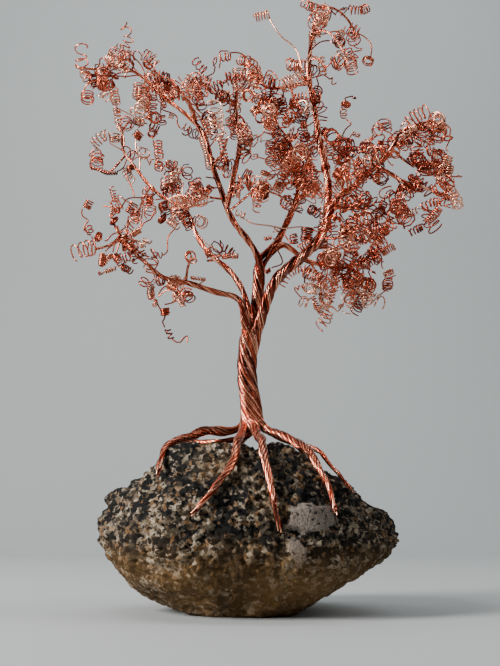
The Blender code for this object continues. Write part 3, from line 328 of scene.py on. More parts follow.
# Each ringlet: its lead from the bundle and its axis as seen from the front (X, Z), the depth Y where the
# lead starts and where the ringlet is, its outer radius and its turns. A separate program wrote these rows.
CURLS = {
    "bundle_low_left": [
        ([(-49.5, 139), (-51, 141.5), (-53.5, 140.5), (-55, 138.5), (-56.5, 138)], [(-58, 139.5),
         (-59, 140)], -17.5, -17.5, 2.1, 5),
        ([(-57, 139), (-60, 138.5), (-61.5, 140.5)], [(-62, 142), (-63, 144.5)], -17.5, -16, 1.7, 2.3),
        ([(-62, 142), (-64.5, 143), (-64, 145.5), (-63, 147), (-65.5, 149), (-66, 151.5)], [(-64, 152),
         (-62.5, 155)], -16, -16, 1.8, 5),
        ([(-50, 140), (-50.5, 143.5)], [(-52.5, 146), (-53, 146.5)], -17.5, -17.5, 2.2, 3.5),
        ([(-53, 146.5), (-54.5, 148.5), (-53.5, 150)], [(-52, 150.5), (-51.5, 151)], -17.5, -17.5, 1.5, 3),
        ([(-52, 150.5), (-51.5, 152.5)], [(-52.5, 154), (-54, 160)], -17.5, -17.5, 1.3, 5),
        ([(-48, 137.5), (-47.5, 146), (-48, 148)], [(-47, 149.5), (-45, 153.5)], -17, -17, 2, 6),
        ([(-46, 151.5), (-43.5, 149)], [(-44, 149.5), (-43, 147.5)], -17, -20, 1.3, 2),
        ([(-48, 138.5), (-46.5, 140)], [(-46, 140.5), (-42.5, 143)], -17, -17, 1.4, 7),
        ([(-47.5, 136.5), (-49.5, 139.5)], [(-50, 140.5), (-47.5, 137.5)], -16.5, -16.5, 2.2, 5),
        ([(-45, 134.5), (-47, 136)], [(-47, 137), (-44.5, 134)], -15.5, -17, 1.9, 5),
        ([(-46, 135), (-47.5, 136)], [(-48, 136.5), (-50, 136.5)], -16, -13, 1.5, 3),
        ([(-47, 137), (-43.5, 139)], [(-41.5, 138.5), (-38, 138)], -17, -17, 1.3, 3),
        ([(-45, 134.5), (-43, 136)], [(-42, 135.5), (-40, 136)], -17, -20, 1.3, 4),
        ([(-43.5, 133), (-42.5, 135.5)], [(-42, 135), (-41, 133)], -15, -15, 1.4, 3),
        ([(-41, 133), (-38.5, 131.5)], [(-38, 133), (-34, 133)], -15, -15, 1.4, 3),
        ([(-49, 139.5), (-53.5, 136.5), (-56, 135)], [(-56.5, 133), (-57, 128.5)], -16.5, -16.5, 1.7, 8),
        ([(-49.5, 139.5), (-52.5, 138), (-53.5, 135.5)], [(-54, 134.5), (-57, 131.5)], -16.5, -12, 1.4, 5),
        ([(-50, 139), (-51.5, 135)], [(-52, 132.5), (-49.5, 129)], -16.5, -16.5, 1.7, 5),
        ([(-49.5, 129), (-49, 128.5)], [(-49, 128), (-45.5, 126)], -16.5, -16.5, 1.6, 5),
        ([(-49, 128.5), (-50.5, 128.5)], [(-51.5, 128), (-56, 126.5)], -16.5, -15, 1.1, 5),
        ([(-56, 126.5), (-57.5, 127)], [(-58, 126.5), (-58.5, 126)], -15, -13.5, 1.1, 1.6),
        ([(-42.5, 132.5), (-44, 132)], [(-45.5, 131.5), (-44, 130)], -14.5, -14.5, 1.1, 2),
        ([(-31, 123.5), (-33, 124.5)], [(-34, 124), (-35.5, 124)], -12.5, -12.5, 2.4, 3),
        ([(-35.5, 124), (-37, 123)], [(-38, 122), (-38.5, 120), (-38, 116.5)], -12.5, -12.5, 1.7, 8),
        ([(-38, 116.5), (-37.5, 114.5)], [(-37, 114.5), (-35.5, 114)], -12.5, -14, 1.8, 3),
        ([(-35.5, 114), (-34, 112)], [(-32.5, 111.5), (-32, 109)], -14, -17, 2, 5),
        ([(-32, 109), (-32.5, 107), (-33, 106), (-31.5, 104.5)], [(-31, 103), (-29.5, 99.5)],
         -17, -18.5, 1.4, 3),
        ([(-21, 123), (-18.5, 125)], [(-17.5, 125.5), (-23.5, 126.5)], -7.5, -7.5, 1, 7),
        ([(-31, 123.5), (-31.5, 122.5)], [(-31.5, 121.5), (-28.5, 120)], -12.5, -14, 1.9, 5),
        ([(-29, 120), (-29, 118.5)], [(-29, 117.5), (-27.5, 116.5)], -15.5, -17, 1.9, 4),
        ([(-27.5, 116.5), (-27, 116.5)], [(-26, 116.5), (-22, 116)], -17, -20, 1.1, 7),
        ([(-27.5, 116.5), (-27, 115.5)], [(-27, 115), (-25.5, 112.5)], -17, -17, 1.2, 5)],
    "bundle_mid_left": [
        ([(-36.5, 168), (-38.5, 168)], [(-42, 166.5), (-44, 167)], 14.5, 13, 2.2, 5),
        ([(-33.5, 166), (-36.5, 167.5)], [(-37.5, 166), (-36, 161.5)], 13.5, 15, 2.6, 6),
        ([(-36, 161.5), (-37.5, 161.5)], [(-38, 159.5), (-37, 158.5)], 15, 15, 2.6, 4),
        ([(-31, 164.5), (-32, 164.5)], [(-32, 163.5), (-31.5, 159.5)], 13, 13, 2.6, 5),
        ([(-28.5, 162), (-29.5, 160.5)], [(-28.5, 160), (-26.5, 157.5)], 12.5, 12.5, 2.9, 4),
        ([(-31.5, 160.5), (-34, 157.5)], [(-35, 157.5), (-30.5, 154)], 13, 13, 1.7, 5),
        ([(-28, 159.5), (-28.5, 158)], [(-27, 156), (-25.5, 153)], 12.5, 11, 1.9, 4),
        ([(-35.5, 167.5), (-35, 170)], [(-36, 171.5), (-36, 176.5)], 14, 14, 2.9, 4),
        ([(-35.5, 171), (-36, 170)], [(-36.5, 171.5), (-36, 171)], 14, 12.5, 1.9, 2),
        ([(-33.5, 166), (-33.5, 171.5)], [(-32.5, 174), (-33, 179)], 13.5, 13.5, 2.7, 5),
        ([(-34.5, 182.5), (-35.5, 185)], [(-36, 186), (-36.5, 189)], 23, 23, 1.6, 4),
        ([(-34.5, 184.5), (-33.5, 184)], [(-33.5, 185), (-33, 187.5)], 23.5, 20.5, 1, 2.5),
        ([(-32.5, 175.5), (-31, 174)], [(-30.5, 174), (-30.5, 170)], 13.5, 13.5, 1, 4),
        ([(-54, 188.5), (-55.5, 184), (-56.5, 182.5)], [(-58, 181.5), (-62.5, 181.5), (-66, 183),
         (-69.5, 184)], 18.5, 18.5, 1.2, 11),
        ([(-52.5, 187), (-52.5, 186)], [(-52.5, 185), (-52, 182.5)], 18.5, 18.5, 2.1, 4),
        ([(-55.5, 192), (-62, 196.5)], [(-60, 196.5), (-60, 200)], 19.5, 19.5, 2.5, 4),
        ([(-17, 141), (-18, 139.5)], [(-18.5, 140.5), (-16, 141.5)], 7, 7, 2.1, 4),
        ([(-15, 139), (-13, 139.5)], [(-11.5, 139.5), (-5, 139.5)], 6.5, 6.5, 1.4, 8)],
    "bundle_crown": [
        ([(25.5, 215), (21.5, 218), (22, 220.5), (21, 226), (19.5, 230), (17, 233), (14, 235.5), (11, 240),
         (6, 243.5)], [(8, 247), (2, 245.5)], -1.5, 0, 2.2, 6),
        ([(27, 238), (28, 245.5), (29, 249), (29.5, 252.5)], [(31.5, 252.5), (35.5, 250)], 2, 2, 2.2, 4),
        ([(27, 239), (28.5, 246)], [(31, 247), (35, 246)], 2, 0.5, 2.2, 4),
        ([(35.5, 250), (37.5, 251.5)], [(39.5, 250.5), (40.5, 249.5)], 2, 2, 3.4, 1.3),
        ([(39.5, 250.5), (41, 251)], [(43, 249.5), (48.5, 249.5), (51.5, 251)], 2, 0.5, 2.2, 7),
        ([(27, 238), (31, 238.5), (36.5, 240), (41.5, 242.5)], [(42.5, 241.5), (47, 239)], 2, 2, 3.4, 3.5),
        ([(41.5, 242.5), (41, 238.5)], [(38, 237.5), (39.5, 236)], 2, 0.5, 2.9, 2.5),
        ([(26, 230), (30, 233), (35, 234)], [(36.5, 234), (39, 230.5)], 0.5, -2.5, 2.6, 5),
        ([(39, 230.5), (40.5, 230)], [(41.5, 228.5), (42.5, 225)], -2.5, -2.5, 2.1, 3),
        ([(42.5, 225), (42.5, 224.5)], [(42, 223.5), (43.5, 218)], -2.5, -2.5, 2.9, 5),
        ([(47, 239), (50, 237), (52.5, 233), (53, 229)], [(51, 226.5), (50.5, 225)], 2, 2, 2.6, 4),
        ([(26, 229), (27, 227.5), (29.5, 228.5)], [(30.5, 228), (31.5, 219.5)], 0.5, 2, 1.9, 5),
        ([(31.5, 219.5), (32.5, 219)], [(34.5, 219), (36.5, 216)], 2, 3.5, 1.2, 2),
        ([(25, 217), (24.5, 217)], [(23.5, 216.5), (22.5, 215.5)], -1.5, 0, 2.1, 3),
        ([(26, 206), (22.5, 203.5)], [(20.5, 203), (16.5, 203)], -3, -3, 2.5, 6),
        ([(27.5, 195), (24.5, 192)], [(23, 192), (21, 191.5)], -4.5, -6, 1.6, 4),
        ([(23, 192), (23, 189)], [(23, 187.5), (23.5, 185.5)], -6, -7.5, 1.6, 3),
        ([(31, 171), (27.5, 171)], [(26, 172), (26.5, 168.5)], -8, -6.5, 1.8, 4),
        ([(30.5, 174), (30.5, 174)], [(30.5, 173.5), (31, 171)], -7.5, -7.5, 2.1, 4),
        ([(28, 191), (30, 191.5)], [(30, 190.5), (32.5, 188.5)], -5, -5, 1.9, 5),
        ([(30.5, 152), (25, 155)], [(24, 155.5), (27.5, 153)], -6.5, -6.5, 2.3, 5),
        ([(29.5, 148), (25.5, 147)], [(23, 147), (22.5, 142)], -6.5, -6.5, 2.7, 6),
        ([(26.5, 142), (28.5, 142)], [(29, 142.5), (29.5, 139.5)], -8, -5, 2.5, 5),
        ([(25, 140.5), (24.5, 139.5)], [(23.5, 140), (19.5, 137.5)], -8.5, -10, 1.8, 5),
        ([(28.5, 145), (21, 147.5), (14, 147), (8, 148), (1, 149), (-1, 150.5)], [(-2, 152), (-5.5, 154)],
         -7, -7, 1.5, 3)],
    "bundle_crown_left": [
        ([(0.5, 209), (-1, 216.5), (-4, 219.5), (-6.5, 220.5)], [(-8, 218), (-12, 218)], -15, -15, 2, 3),
        ([(4, 208), (1, 209)], [(2.5, 214.5), (3, 209)], -12.5, -12.5, 2.1, 7),
        ([(5.5, 207.5), (5, 208.5)], [(6, 211), (9, 210.5)], -11.5, -10, 2.5, 3.5),
        ([(5.5, 210), (7.5, 214), (10.5, 211.5), (12.5, 207.5)], [(10.5, 207), (7.5, 207)],
         -10, -13, 2.3, 3),
        ([(1, 209), (0, 205.5)], [(-0.5, 202), (-1, 201.5)], -12.5, -12.5, 2.7, 2.5),
        ([(-1, 201.5), (0, 199)], [(1.5, 196.5), (3, 194.5)], -12.5, -12.5, 2.3, 4),
        ([(3, 194.5), (3, 192)], [(3.5, 191), (4.5, 190.5)], -12.5, -15.5, 2.7, 2.2),
        ([(4.5, 190.5), (6, 189)], [(6.5, 187.5), (6, 187)], -15.5, -18.5, 2.2, 2),
        ([(9, 206), (9, 203.5)], [(9.5, 201.5), (10, 198)], -9.5, -11, 1.6, 5),
        ([(10, 198), (10, 197)], [(10, 196.5), (9.5, 193)], -11, -11, 1.6, 4),
        ([(13.5, 208.5), (14, 205)], [(13, 203), (14, 196.5)], -7.5, -7.5, 2.2, 5),
        ([(14, 196.5), (15, 194.5)], [(15, 193.5), (14.5, 190)], -7.5, -9, 1.8, 4),
        ([(15, 192), (19.5, 195)], [(18, 194.5), (17, 194)], -9, -6, 1.6, 2.2)],
    "bundle_right": [
        ([(41, 176), (36.5, 182)], [(35.5, 185.5), (37, 182)], -3.5, -3.5, 2.3, 4),
        ([(36.5, 182), (38.5, 185.5)], [(39.5, 185), (42.5, 183.5)], -3.5, -0.5, 1.6, 5),
        ([(37.5, 180.5), (33, 182)], [(32.5, 184.5), (33.5, 178.5)], -3.5, -3.5, 2.1, 5),
        ([(39.5, 178), (36.5, 178.5)], [(35.5, 180), (37, 175)], -3.5, -3.5, 2.3, 4),
        ([(43, 164), (39.5, 170)], [(41.5, 172), (44, 170.5)], -16.5, -16.5, 2.2, 4),
        ([(40.5, 161.5), (38, 169)], [(36, 168), (39.5, 166.5)], -13.5, -13.5, 2.5, 5),
        ([(37.5, 159.5), (33.5, 164.5)], [(33, 166.5), (36, 164)], -13.5, -18, 2.2, 4),
        ([(44.5, 164.5), (42, 168)], [(41.5, 168.5), (44.5, 165)], -14.5, -14.5, 2, 5),
        ([(42.5, 171), (42, 176)], [(44, 178), (46, 177.5)], -16.5, -16.5, 2.4, 2),
        ([(45, 177.5), (45.5, 182)], [(46.5, 180), (48.5, 181)], -16.5, -13.5, 2.2, 2),
        ([(48.5, 181), (47.5, 183.5)], [(49, 184.5), (50, 183.5)], -13.5, -12, 1.8, 2),
        ([(57, 178), (56.5, 182), (54, 186)], [(51, 185), (50, 183)], -18, -18, 2.7, 2),
        ([(57, 179.5), (54, 179)], [(53, 178.5), (50.5, 178.5)], -18, -18, 1, 5),
        ([(51, 171), (50.5, 176.5)], [(49, 175.5), (49.5, 172)], -16, -16, 1.6, 3.5),
        ([(39.5, 185), (42, 189.5)], [(43, 192), (46, 190.5)], -0.5, 1, 1.2, 4),
        ([(36.5, 182), (37, 186)], [(38, 186.5), (42, 185)], -3.5, -5, 1.4, 5),
        ([(36.5, 184), (39.5, 191), (42, 193.5), (39.5, 196.5)], [(39, 197), (39, 200)], -4, -4, 1.6, 2.3),
        ([(39, 200), (39, 201.5)], [(40, 202.5), (40.5, 204)], -4, -2.5, 2.2, 4),
        ([(40.5, 204), (40, 206.5), (42.5, 209)], [(44, 207.5), (44, 206.5)], -2.5, -1, 1, 1.4),
        ([(65, 185), (69, 184.5), (71.5, 183.5)], [(71.5, 180), (71.5, 178.5)], -19.5, -19.5, 1.5, 1.3),
        ([(63, 184.5), (65.5, 186)], [(66.5, 185.5), (69, 184)], -19, -19, 1.8, 5),
        ([(58, 180), (59.5, 180.5)], [(59, 178.5), (60, 176.5)], -18.5, -18.5, 2, 4),
        ([(60, 182.5), (60.5, 183)], [(62, 182), (65, 183)], -19, -22, 2, 5),
        ([(64, 182.5), (63.5, 179)], [(62.5, 177), (61, 176)], -22, -23.5, 1.7, 2),
        ([(69, 184.5), (71, 184.5), (73.5, 187)], [(74, 184.5), (76.5, 186.5)], -19.5, -19.5, 1.7, 5),
        ([(71.5, 180), (71.5, 183)], [(73.5, 183), (74, 182)], -19.5, -16.5, 1.8, 1.5),
        ([(76.5, 186.5), (79, 184), (77, 181)], [(79, 180), (79.5, 179.5)], -19.5, -19.5, 2.6, 3),
        ([(71.5, 178.5), (67.5, 176.5)], [(69.5, 174), (71, 174)], -19.5, -21, 2.8, 2),
        ([(71, 174), (73.5, 177.5)], [(74, 175.5), (73.5, 174.5)], -21, -18, 2.7, 2),
        ([(73.5, 174.5), (72.5, 174)], [(72, 171), (74, 170)], -18, -16.5, 2.2, 4),
        ([(79, 180), (77, 175.5), (79, 173)], [(79, 172.5), (76.5, 169), (74, 166.5)], -19.5, -19.5, 2.2, 8),
        ([(76.5, 169), (80.5, 170.5)], [(79, 168.5), (77, 163)], -19.5, -19.5, 1.8, 6),
        ([(78, 165.5), (74, 164)], [(72.5, 163), (76, 162)], -19.5, -19.5, 1.5, 4),
        ([(76, 162), (76, 161)], [(75.5, 160.5), (76, 159)], -19.5, -21, 1.3, 3),
        ([(61, 172), (64, 169.5)], [(66, 169), (70.5, 169)], -16, -16, 1.3, 5),
        ([(66, 169), (63.5, 166)], [(65.5, 165.5), (66, 165)], -16, -19, 2, 1.5),
        ([(42, 162.5), (41, 156.5)], [(42, 155), (41.5, 151.5)], -14, -14, 1.8, 5),
        ([(41.5, 151.5), (40.5, 150)], [(40.5, 149), (42, 148)], -14, -15.5, 1.5, 4),
        ([(35.5, 140.5), (37, 140.5)], [(37, 143.5), (38, 140.5)], -17, -17, 2.6, 6),
        ([(37.5, 142.5), (38, 147.5)], [(36.5, 147.5), (39.5, 143)], -17, -12.5, 2, 5),
        ([(36.5, 147.5), (35.5, 149.5)], [(34, 149.5), (32.5, 148)], -12.5, -14, 1.3, 5),
        ([(35.5, 149.5), (35.5, 150.5)], [(35.5, 154.5), (36.5, 150.5)], -14, -15.5, 1.5, 5),
        ([(39.5, 143), (44, 142)], [(45.5, 145), (48, 142)], -12.5, -12.5, 2.2, 5),
        ([(48, 142), (48, 139)], [(48.5, 141), (49.5, 140)], -12.5, -15.5, 1.7, 3),
        ([(48, 139), (50.5, 140.5)], [(52, 144.5), (53, 142)], -15.5, -14, 2, 5),
        ([(47.5, 142.5), (49.5, 147)], [(47, 148.5), (51, 147)], -12.5, -9.5, 1.8, 4),
        ([(48, 139), (48.5, 137)], [(49, 137.5), (51.5, 139)], -15.5, -18.5, 1.7, 4),
        ([(38, 140.5), (41, 138)], [(40, 139.5), (43.5, 138.5)], -17, -17, 1.5, 5)],
    "bundle_right_low": [
        ([(64, 160), (63.5, 161.5)], [(62.5, 164), (62.5, 162.5)], -21, -19.5, 1.3, 2),
        ([(58.5, 162.5), (60, 161.5)], [(59, 160), (62, 157.5)], -19.5, -21, 2.4, 6),
        ([(56.5, 164.5), (58.5, 164.5)], [(58.5, 161), (61, 159.5)], -18.5, -14, 2.2, 4),
        ([(52, 168), (50.5, 166)], [(49.5, 164.5), (50, 163)], -17, -17, 1.8, 4),
        ([(66.5, 158.5), (68, 160.5)], [(69.5, 158.5), (70.5, 158)], -21.5, -21.5, 1.5, 1.5),
        ([(75, 153.5), (75, 153)], [(73, 152.5), (69, 151.5), (65.5, 149.5)], -24, -22.5, 1.8, 6),
        ([(65.5, 149.5), (65, 149)], [(64.5, 149), (61, 147), (56, 145)], -22.5, -22.5, 1.6, 7),
        ([(75, 153), (74, 151)], [(72.5, 149.5), (70, 146), (66.5, 142.5)], -22.5, -24, 1.8, 8),
        ([(66.5, 142.5), (65.5, 141.5)], [(65, 141), (60, 138.5)], -24, -25.5, 1.7, 5),
        ([(61, 158.5), (58.5, 152.5)], [(57.5, 151.5), (56, 148.5)], -21, -21, 1.7, 5),
        ([(58.5, 152.5), (59.5, 152)], [(59, 151.5), (61, 149)], -21, -18, 2, 5),
        ([(58.5, 161), (56, 158)], [(57, 156), (56, 153)], -14, -14, 1.8, 4),
        ([(56, 153), (54, 150)], [(52, 148.5), (48.5, 148)], -14, -15.5, 1.2, 5),
        ([(57.5, 159.5), (53, 157)], [(53, 155.5), (51, 151)], -14, -14, 1.8, 6)],
    "bundle_back_right": [
        ([(48, 142), (53, 146.5), (55.5, 145)], [(57, 146), (62.5, 149)], 22.5, 22.5, 2, 8),
        ([(50, 143), (56.5, 144), (57, 140.5), (59, 140.5)], [(59.5, 138.5), (60.5, 135.5)],
         23.5, 23.5, 2.6, 3),
        ([(60.5, 135.5), (60.5, 134.5)], [(59.5, 134), (59, 130)], 23.5, 23.5, 2.6, 5),
        ([(49, 143), (50.5, 145.5)], [(54, 146.5), (54.5, 144)], 22.5, 22.5, 1.9, 5),
        ([(44.5, 140.5), (46, 143.5)], [(45, 145), (48.5, 141.5)], 21.5, 21.5, 2.2, 5),
        ([(44.5, 140.5), (47.5, 140)], [(48.5, 140.5), (51.5, 140)], 21.5, 21.5, 2.2, 5),
        ([(48.5, 140.5), (51.5, 139), (51, 137), (52.5, 133.5), (53, 130)], [(52, 128.5), (50.5, 127.5)],
         21.5, 21.5, 1.4, 3),
        ([(50.5, 140), (52.5, 138.5)], [(53, 137), (53, 136)], 21.5, 20, 1, 1.4),
        ([(41, 139), (43.5, 136.5)], [(40.5, 135.5), (41.5, 131)], 20, 18.5, 2.3, 5),
        ([(42.5, 132.5), (43, 131.5)], [(43, 131), (46.5, 133)], 22.5, 22.5, 1.5, 5),
        ([(44, 132), (47, 130.5)], [(48, 129.5), (48.5, 127)], 22.5, 25.5, 1.5, 2.5),
        ([(41.5, 131), (43.5, 127.5), (40.5, 125), (39, 122.5)], [(38.5, 122), (38.5, 120.5)],
         18.5, 18.5, 1.4, 1.3),
        ([(38.5, 120.5), (37, 119), (35.5, 120.5), (33, 122)], [(31.5, 121.5), (31, 119)],
         18.5, 18.5, 2.1, 1.3),
        ([(31, 119), (30.5, 118.5)], [(30, 119), (27, 126)], 18.5, 21.5, 1.4, 8),
        ([(27, 126), (25, 125), (21.5, 126), (20, 127)], [(19, 129), (23, 130.5)], 21.5, 20, 1.2, 3),
        ([(36, 138), (36.5, 133.5)], [(35.5, 131.5), (36.5, 128)], 18, 18, 1.9, 4),
        ([(33, 138), (32.5, 132.5)], [(31.5, 131), (32, 125)], 16.5, 15, 1.3, 5),
        ([(32, 138.5), (30.5, 135.5)], [(30.5, 134), (28.5, 129.5)], 16, 19, 1.2, 6),
        ([(37, 138), (36.5, 139)], [(36, 138), (38, 133.5)], 18.5, 21.5, 2.4, 5),
        ([(26.5, 139), (22.5, 135.5)], [(21.5, 135), (26, 136)], 14, 14, 1.2, 5),
        ([(26, 136), (22.5, 134)], [(22.5, 131), (24.5, 131)], 14, 12.5, 1.6, 1.4),
        ([(32, 141), (35, 141.5)], [(35, 143), (38, 141.5)], 17, 15.5, 2.6, 6),
        ([(30.5, 139), (30.5, 142.5)], [(30.5, 144), (34, 139.5)], 14.5, 14.5, 2.4, 6),
        ([(41, 139), (40, 141.5)], [(39.5, 141.5), (36, 140)], 20, 21.5, 2.4, 5),
        ([(40.5, 141), (41, 145)], [(41, 147), (46, 146)], 21, 21, 2.2, 6)],
    "bundle_centre": [
        ([(14, 191.5), (10, 190.5), (5.5, 190.5)], [(2, 191.5), (1.5, 193.5)], 26.5, 25, 2.1, 1.5),
        ([(17, 198), (15.5, 200.5)], [(11, 202.5), (13, 198.5)], 21, 21, 2.5, 5),
        ([(18, 196), (14.5, 198)], [(16, 200.5), (18, 198.5)], 21, 21, 3, 4),
        ([(18, 196), (16.5, 196)], [(19, 197.5), (20, 196.5)], 21, 16, 3, 2),
        ([(19, 193), (12.5, 193)], [(9, 196.5), (9, 191.5)], 20, 20, 2.5, 5),
        ([(17, 193), (15.5, 192)], [(14.5, 195), (15, 189)], 20, 20, 2.2, 6),
        ([(18.5, 194), (19.5, 197.5)], [(20.5, 196), (22, 194.5)], 20, 22, 2, 3),
        ([(15, 189), (11, 189.5)], [(8.5, 189), (9.5, 186.5)], 20, 20, 2.7, 3),
        ([(18, 187.5), (16, 189)], [(15, 187.5), (17.5, 185.5)], 21.5, 21.5, 2.7, 4),
        ([(20, 189), (17.5, 191)], [(19.5, 188.5), (20, 185)], 19, 17.5, 2.5, 2.5),
        ([(17.5, 185.5), (11, 183)], [(7, 183.5), (6.5, 182)], 21.5, 21.5, 2.3, 4),
        ([(14, 184), (9, 180)], [(6.5, 178), (5.5, 174.5)], 21.5, 23, 2.7, 5),
        ([(6.5, 177), (8, 173.5)], [(6, 171.5), (7, 170.5)], 23, 18.5, 2.4, 3),
        ([(21, 175), (12, 176)], [(10.5, 175), (14.5, 172.5)], 15.5, 15.5, 2.7, 5),
        ([(19.5, 175), (17.5, 177.5)], [(17, 175.5), (18, 174)], 15.5, 17, 2.4, 2),
        ([(21, 181), (19.5, 182)], [(19, 181.5), (22, 180.5)], 17, 17, 2, 4),
        ([(21, 177), (23, 178)], [(23.5, 176.5), (25, 173.5)], 16, 16, 2.2, 3),
        ([(20, 169), (20.5, 171.5)], [(21.5, 168.5), (22.5, 167)], 13.5, 13.5, 2.9, 4),
        ([(23.5, 171), (26.5, 176.5)], [(27.5, 175.5), (28, 174)], 17, 20, 2, 2),
        ([(13.5, 151.5), (17.5, 145)], [(18.5, 145), (18, 149)], 9.5, 6.5, 1.9, 4),
        ([(14.5, 153.5), (12.5, 154)], [(11.5, 153), (11, 151)], 10, 10, 1.7, 2),
        ([(11.5, 147), (9.5, 148.5)], [(9, 148.5), (6, 148)], 9, 9, 1.1, 4),
        ([(10.5, 145), (13.5, 137.5), (10.5, 136.5)], [(8.5, 134.5), (6.5, 133)], 8.5, 8.5, 1.1, 4)],
    "bundle_high_left": [
        ([(-60, 207), (-65.5, 204.5), (-67.5, 203)], [(-65.5, 200.5), (-65, 196.5)], -17, -17, 2.8, 4),
        ([(-60, 214.5), (-59.5, 212)], [(-60.5, 211.5), (-61, 214)], -10.5, -10.5, 3, 4),
        ([(-59.5, 212), (-61, 212.5)], [(-63, 215), (-61.5, 216)], -10.5, -6, 4.7, 2),
        ([(-59.5, 213), (-57.5, 215.5)], [(-60.5, 217), (-59.5, 218)], -10.5, -10.5, 3.2, 1.7),
        ([(-58, 214.5), (-60, 219)], [(-58.5, 221.5), (-57, 221)], -10.5, -7.5, 2.3, 2.5),
        ([(-46, 215), (-49.5, 218)], [(-51.5, 219), (-51, 220.5)], -6, -6, 2.8, 3.5),
        ([(-46, 215), (-47.5, 221.5)], [(-51.5, 223), (-54.5, 223.5)], -6, -3, 5, 2.2),
        ([(-57.5, 215.5), (-58, 216.5)], [(-55.5, 217), (-54.5, 216.5)], -10.5, -10.5, 2.5, 1.6),
        ([(-55, 218), (-54.5, 216)], [(-57, 215), (-57.5, 214.5)], -6, -6, 2.8, 2.2),
        ([(-63, 215), (-64.5, 212.5)], [(-65.5, 213), (-64, 209.5)], -6, -7.5, 2.3, 4),
        ([(-60, 207), (-59.5, 206.5)], [(-60.5, 204.5), (-58, 203)], -17, -17, 2.3, 4),
        ([(-57.5, 214.5), (-56.5, 211.5)], [(-56.5, 210.5), (-59, 209)], -6, -7.5, 2.1, 3),
        ([(-45, 214), (-44, 214.5)], [(-43, 219), (-42.5, 220)], -6, -6, 2.6, 2),
        ([(-44, 214.5), (-43.5, 217.5)], [(-42.5, 221.5), (-41.5, 221.5)], -6, -1.5, 3.8, 1.3),
        ([(-57.5, 209.5), (-57.5, 209.5)], [(-56.5, 207.5), (-56, 204), (-55, 200.5)], -7.5, -7.5, 2.2, 6),
        ([(-55, 200.5), (-55, 200)], [(-55, 199), (-54, 192.5)], -7.5, -7.5, 1.7, 5),
        ([(-55, 199), (-49.5, 196), (-46.5, 194.5)], [(-45.5, 194.5), (-44.5, 192)], -7.5, -7.5, 1.8, 3),
        ([(-41.5, 198), (-45, 196.5)], [(-47, 195), (-47.5, 194.5)], -13, -13, 1.7, 1.4),
        ([(-45, 214), (-46, 212.5)], [(-46.5, 210.5), (-47, 204.5)], -6, -6, 2.3, 5),
        ([(-43.5, 212.5), (-43, 208)], [(-44.5, 205), (-44.5, 199)], -6.5, -9.5, 2.5, 5),
        ([(-40.5, 209.5), (-41.5, 207.5)], [(-40.5, 205.5), (-40.5, 198)], -7, -7, 2.3, 5),
        ([(-43, 197.5), (-42, 196)], [(-41.5, 195), (-41, 191.5)], -13, -13, 2, 3),
        ([(-45.5, 194.5), (-46, 196.5)], [(-48.5, 195.5), (-44.5, 194.5)], -7.5, -3, 1.9, 4),
        ([(-44.5, 194.5), (-43, 195)], [(-42, 193.5), (-38, 191.5)], -3, -3, 2.1, 4),
        ([(-42, 193.5), (-41, 191)], [(-40.5, 188.5), (-40.5, 187)], -3, -6, 1.8, 2),
        ([(-44.5, 194.5), (-45, 192)], [(-45.5, 190.5), (-47.5, 188)], -3, -3, 2.2, 5),
        ([(-40.5, 187), (-39, 187)], [(-38, 185), (-37, 177.5)], -6, -6, 2.1, 6),
        ([(-37, 177.5), (-37, 176)], [(-37, 175), (-37, 171.5)], -6, -7.5, 2, 4),
        ([(-29, 202), (-31.5, 203)], [(-31.5, 203), (-34.5, 203.5)], -18, -18, 2.5, 4),
        ([(-37, 205.5), (-38, 202.5)], [(-36, 202), (-35, 202)], -7, -5.5, 2.3, 1.6),
        ([(-35, 202), (-36.5, 199.5), (-33, 198), (-30.5, 196.5), (-30, 193), (-28.5, 191)], [(-27.5, 192),
         (-25, 190.5)], -5.5, -5.5, 1.9, 2.5),
        ([(-37, 202), (-37.5, 199)], [(-37, 196.5), (-36.5, 193)], -5.5, -5.5, 2.3, 2.5),
        ([(-33, 198), (-33, 199.5)], [(-32.5, 198.5), (-33.5, 196.5)], -5.5, -2.5, 1.4, 2),
        ([(-17, 181), (-13.5, 189.5)], [(-12.5, 186.5), (-11.5, 184), (-10, 174.5)], -7, -7, 1.7, 9),
        ([(-10, 174.5), (-11.5, 172.5)], [(-10, 170), (-9, 169.5)], -7, -7, 1.8, 2),
        ([(-17, 180), (-14, 178.5)], [(-13, 176), (-12.5, 171)], -7, -7, 2, 2.3),
        ([(-22.5, 194.5), (-19.5, 195)], [(-19, 194), (-16.5, 186.5)], -9, -7, 1.7, 6),
        ([(-13.5, 169), (-18, 169)], [(-19.5, 167), (-24, 164.5)], -5, -5, 3.2, 6),
        ([(-12.5, 165.5), (-18, 163)], [(-20, 161.5), (-20.5, 161.5)], -4.5, -9, 2, 2),
        ([(-14, 164.5), (-16.5, 166)], [(-18, 164.5), (-16, 163)], -6, -6, 2.3, 4)],
    "bundle_upright": [
        ([(-6, 225.5), (-6.5, 229.5)], [(-5.5, 231.5), (-5, 226.5)], 16, 19, 2.8, 5),
        ([(-6, 222.5), (-6, 222)], [(-5.5, 222), (-5, 216)], 15, 15, 2.7, 4),
        ([(-6, 223.5), (-8, 223.5)], [(-8.5, 225.5), (-11, 225.5)], 15.5, 14, 2.2, 2.4),
        ([(-6, 213), (-8, 213.5)], [(-9, 215), (-13.5, 215)], 13, 13, 3, 6),
        ([(-13.5, 212.5), (-15.5, 216.5)], [(-17.5, 219), (-20, 220)], 9, 9, 3, 3),
        ([(-19, 219.5), (-21, 219.5)], [(-22.5, 220), (-28, 219)], 9, 9, 2.6, 4),
        ([(-19, 219.5), (-19, 222)], [(-19.5, 224), (-22.5, 227), (-24, 229.5)], 9, 7.5, 2.2, 4),
        ([(-19, 219.5), (-18.5, 222.5), (-16, 224), (-13.5, 226.5)], [(-15, 229.5), (-16, 230)],
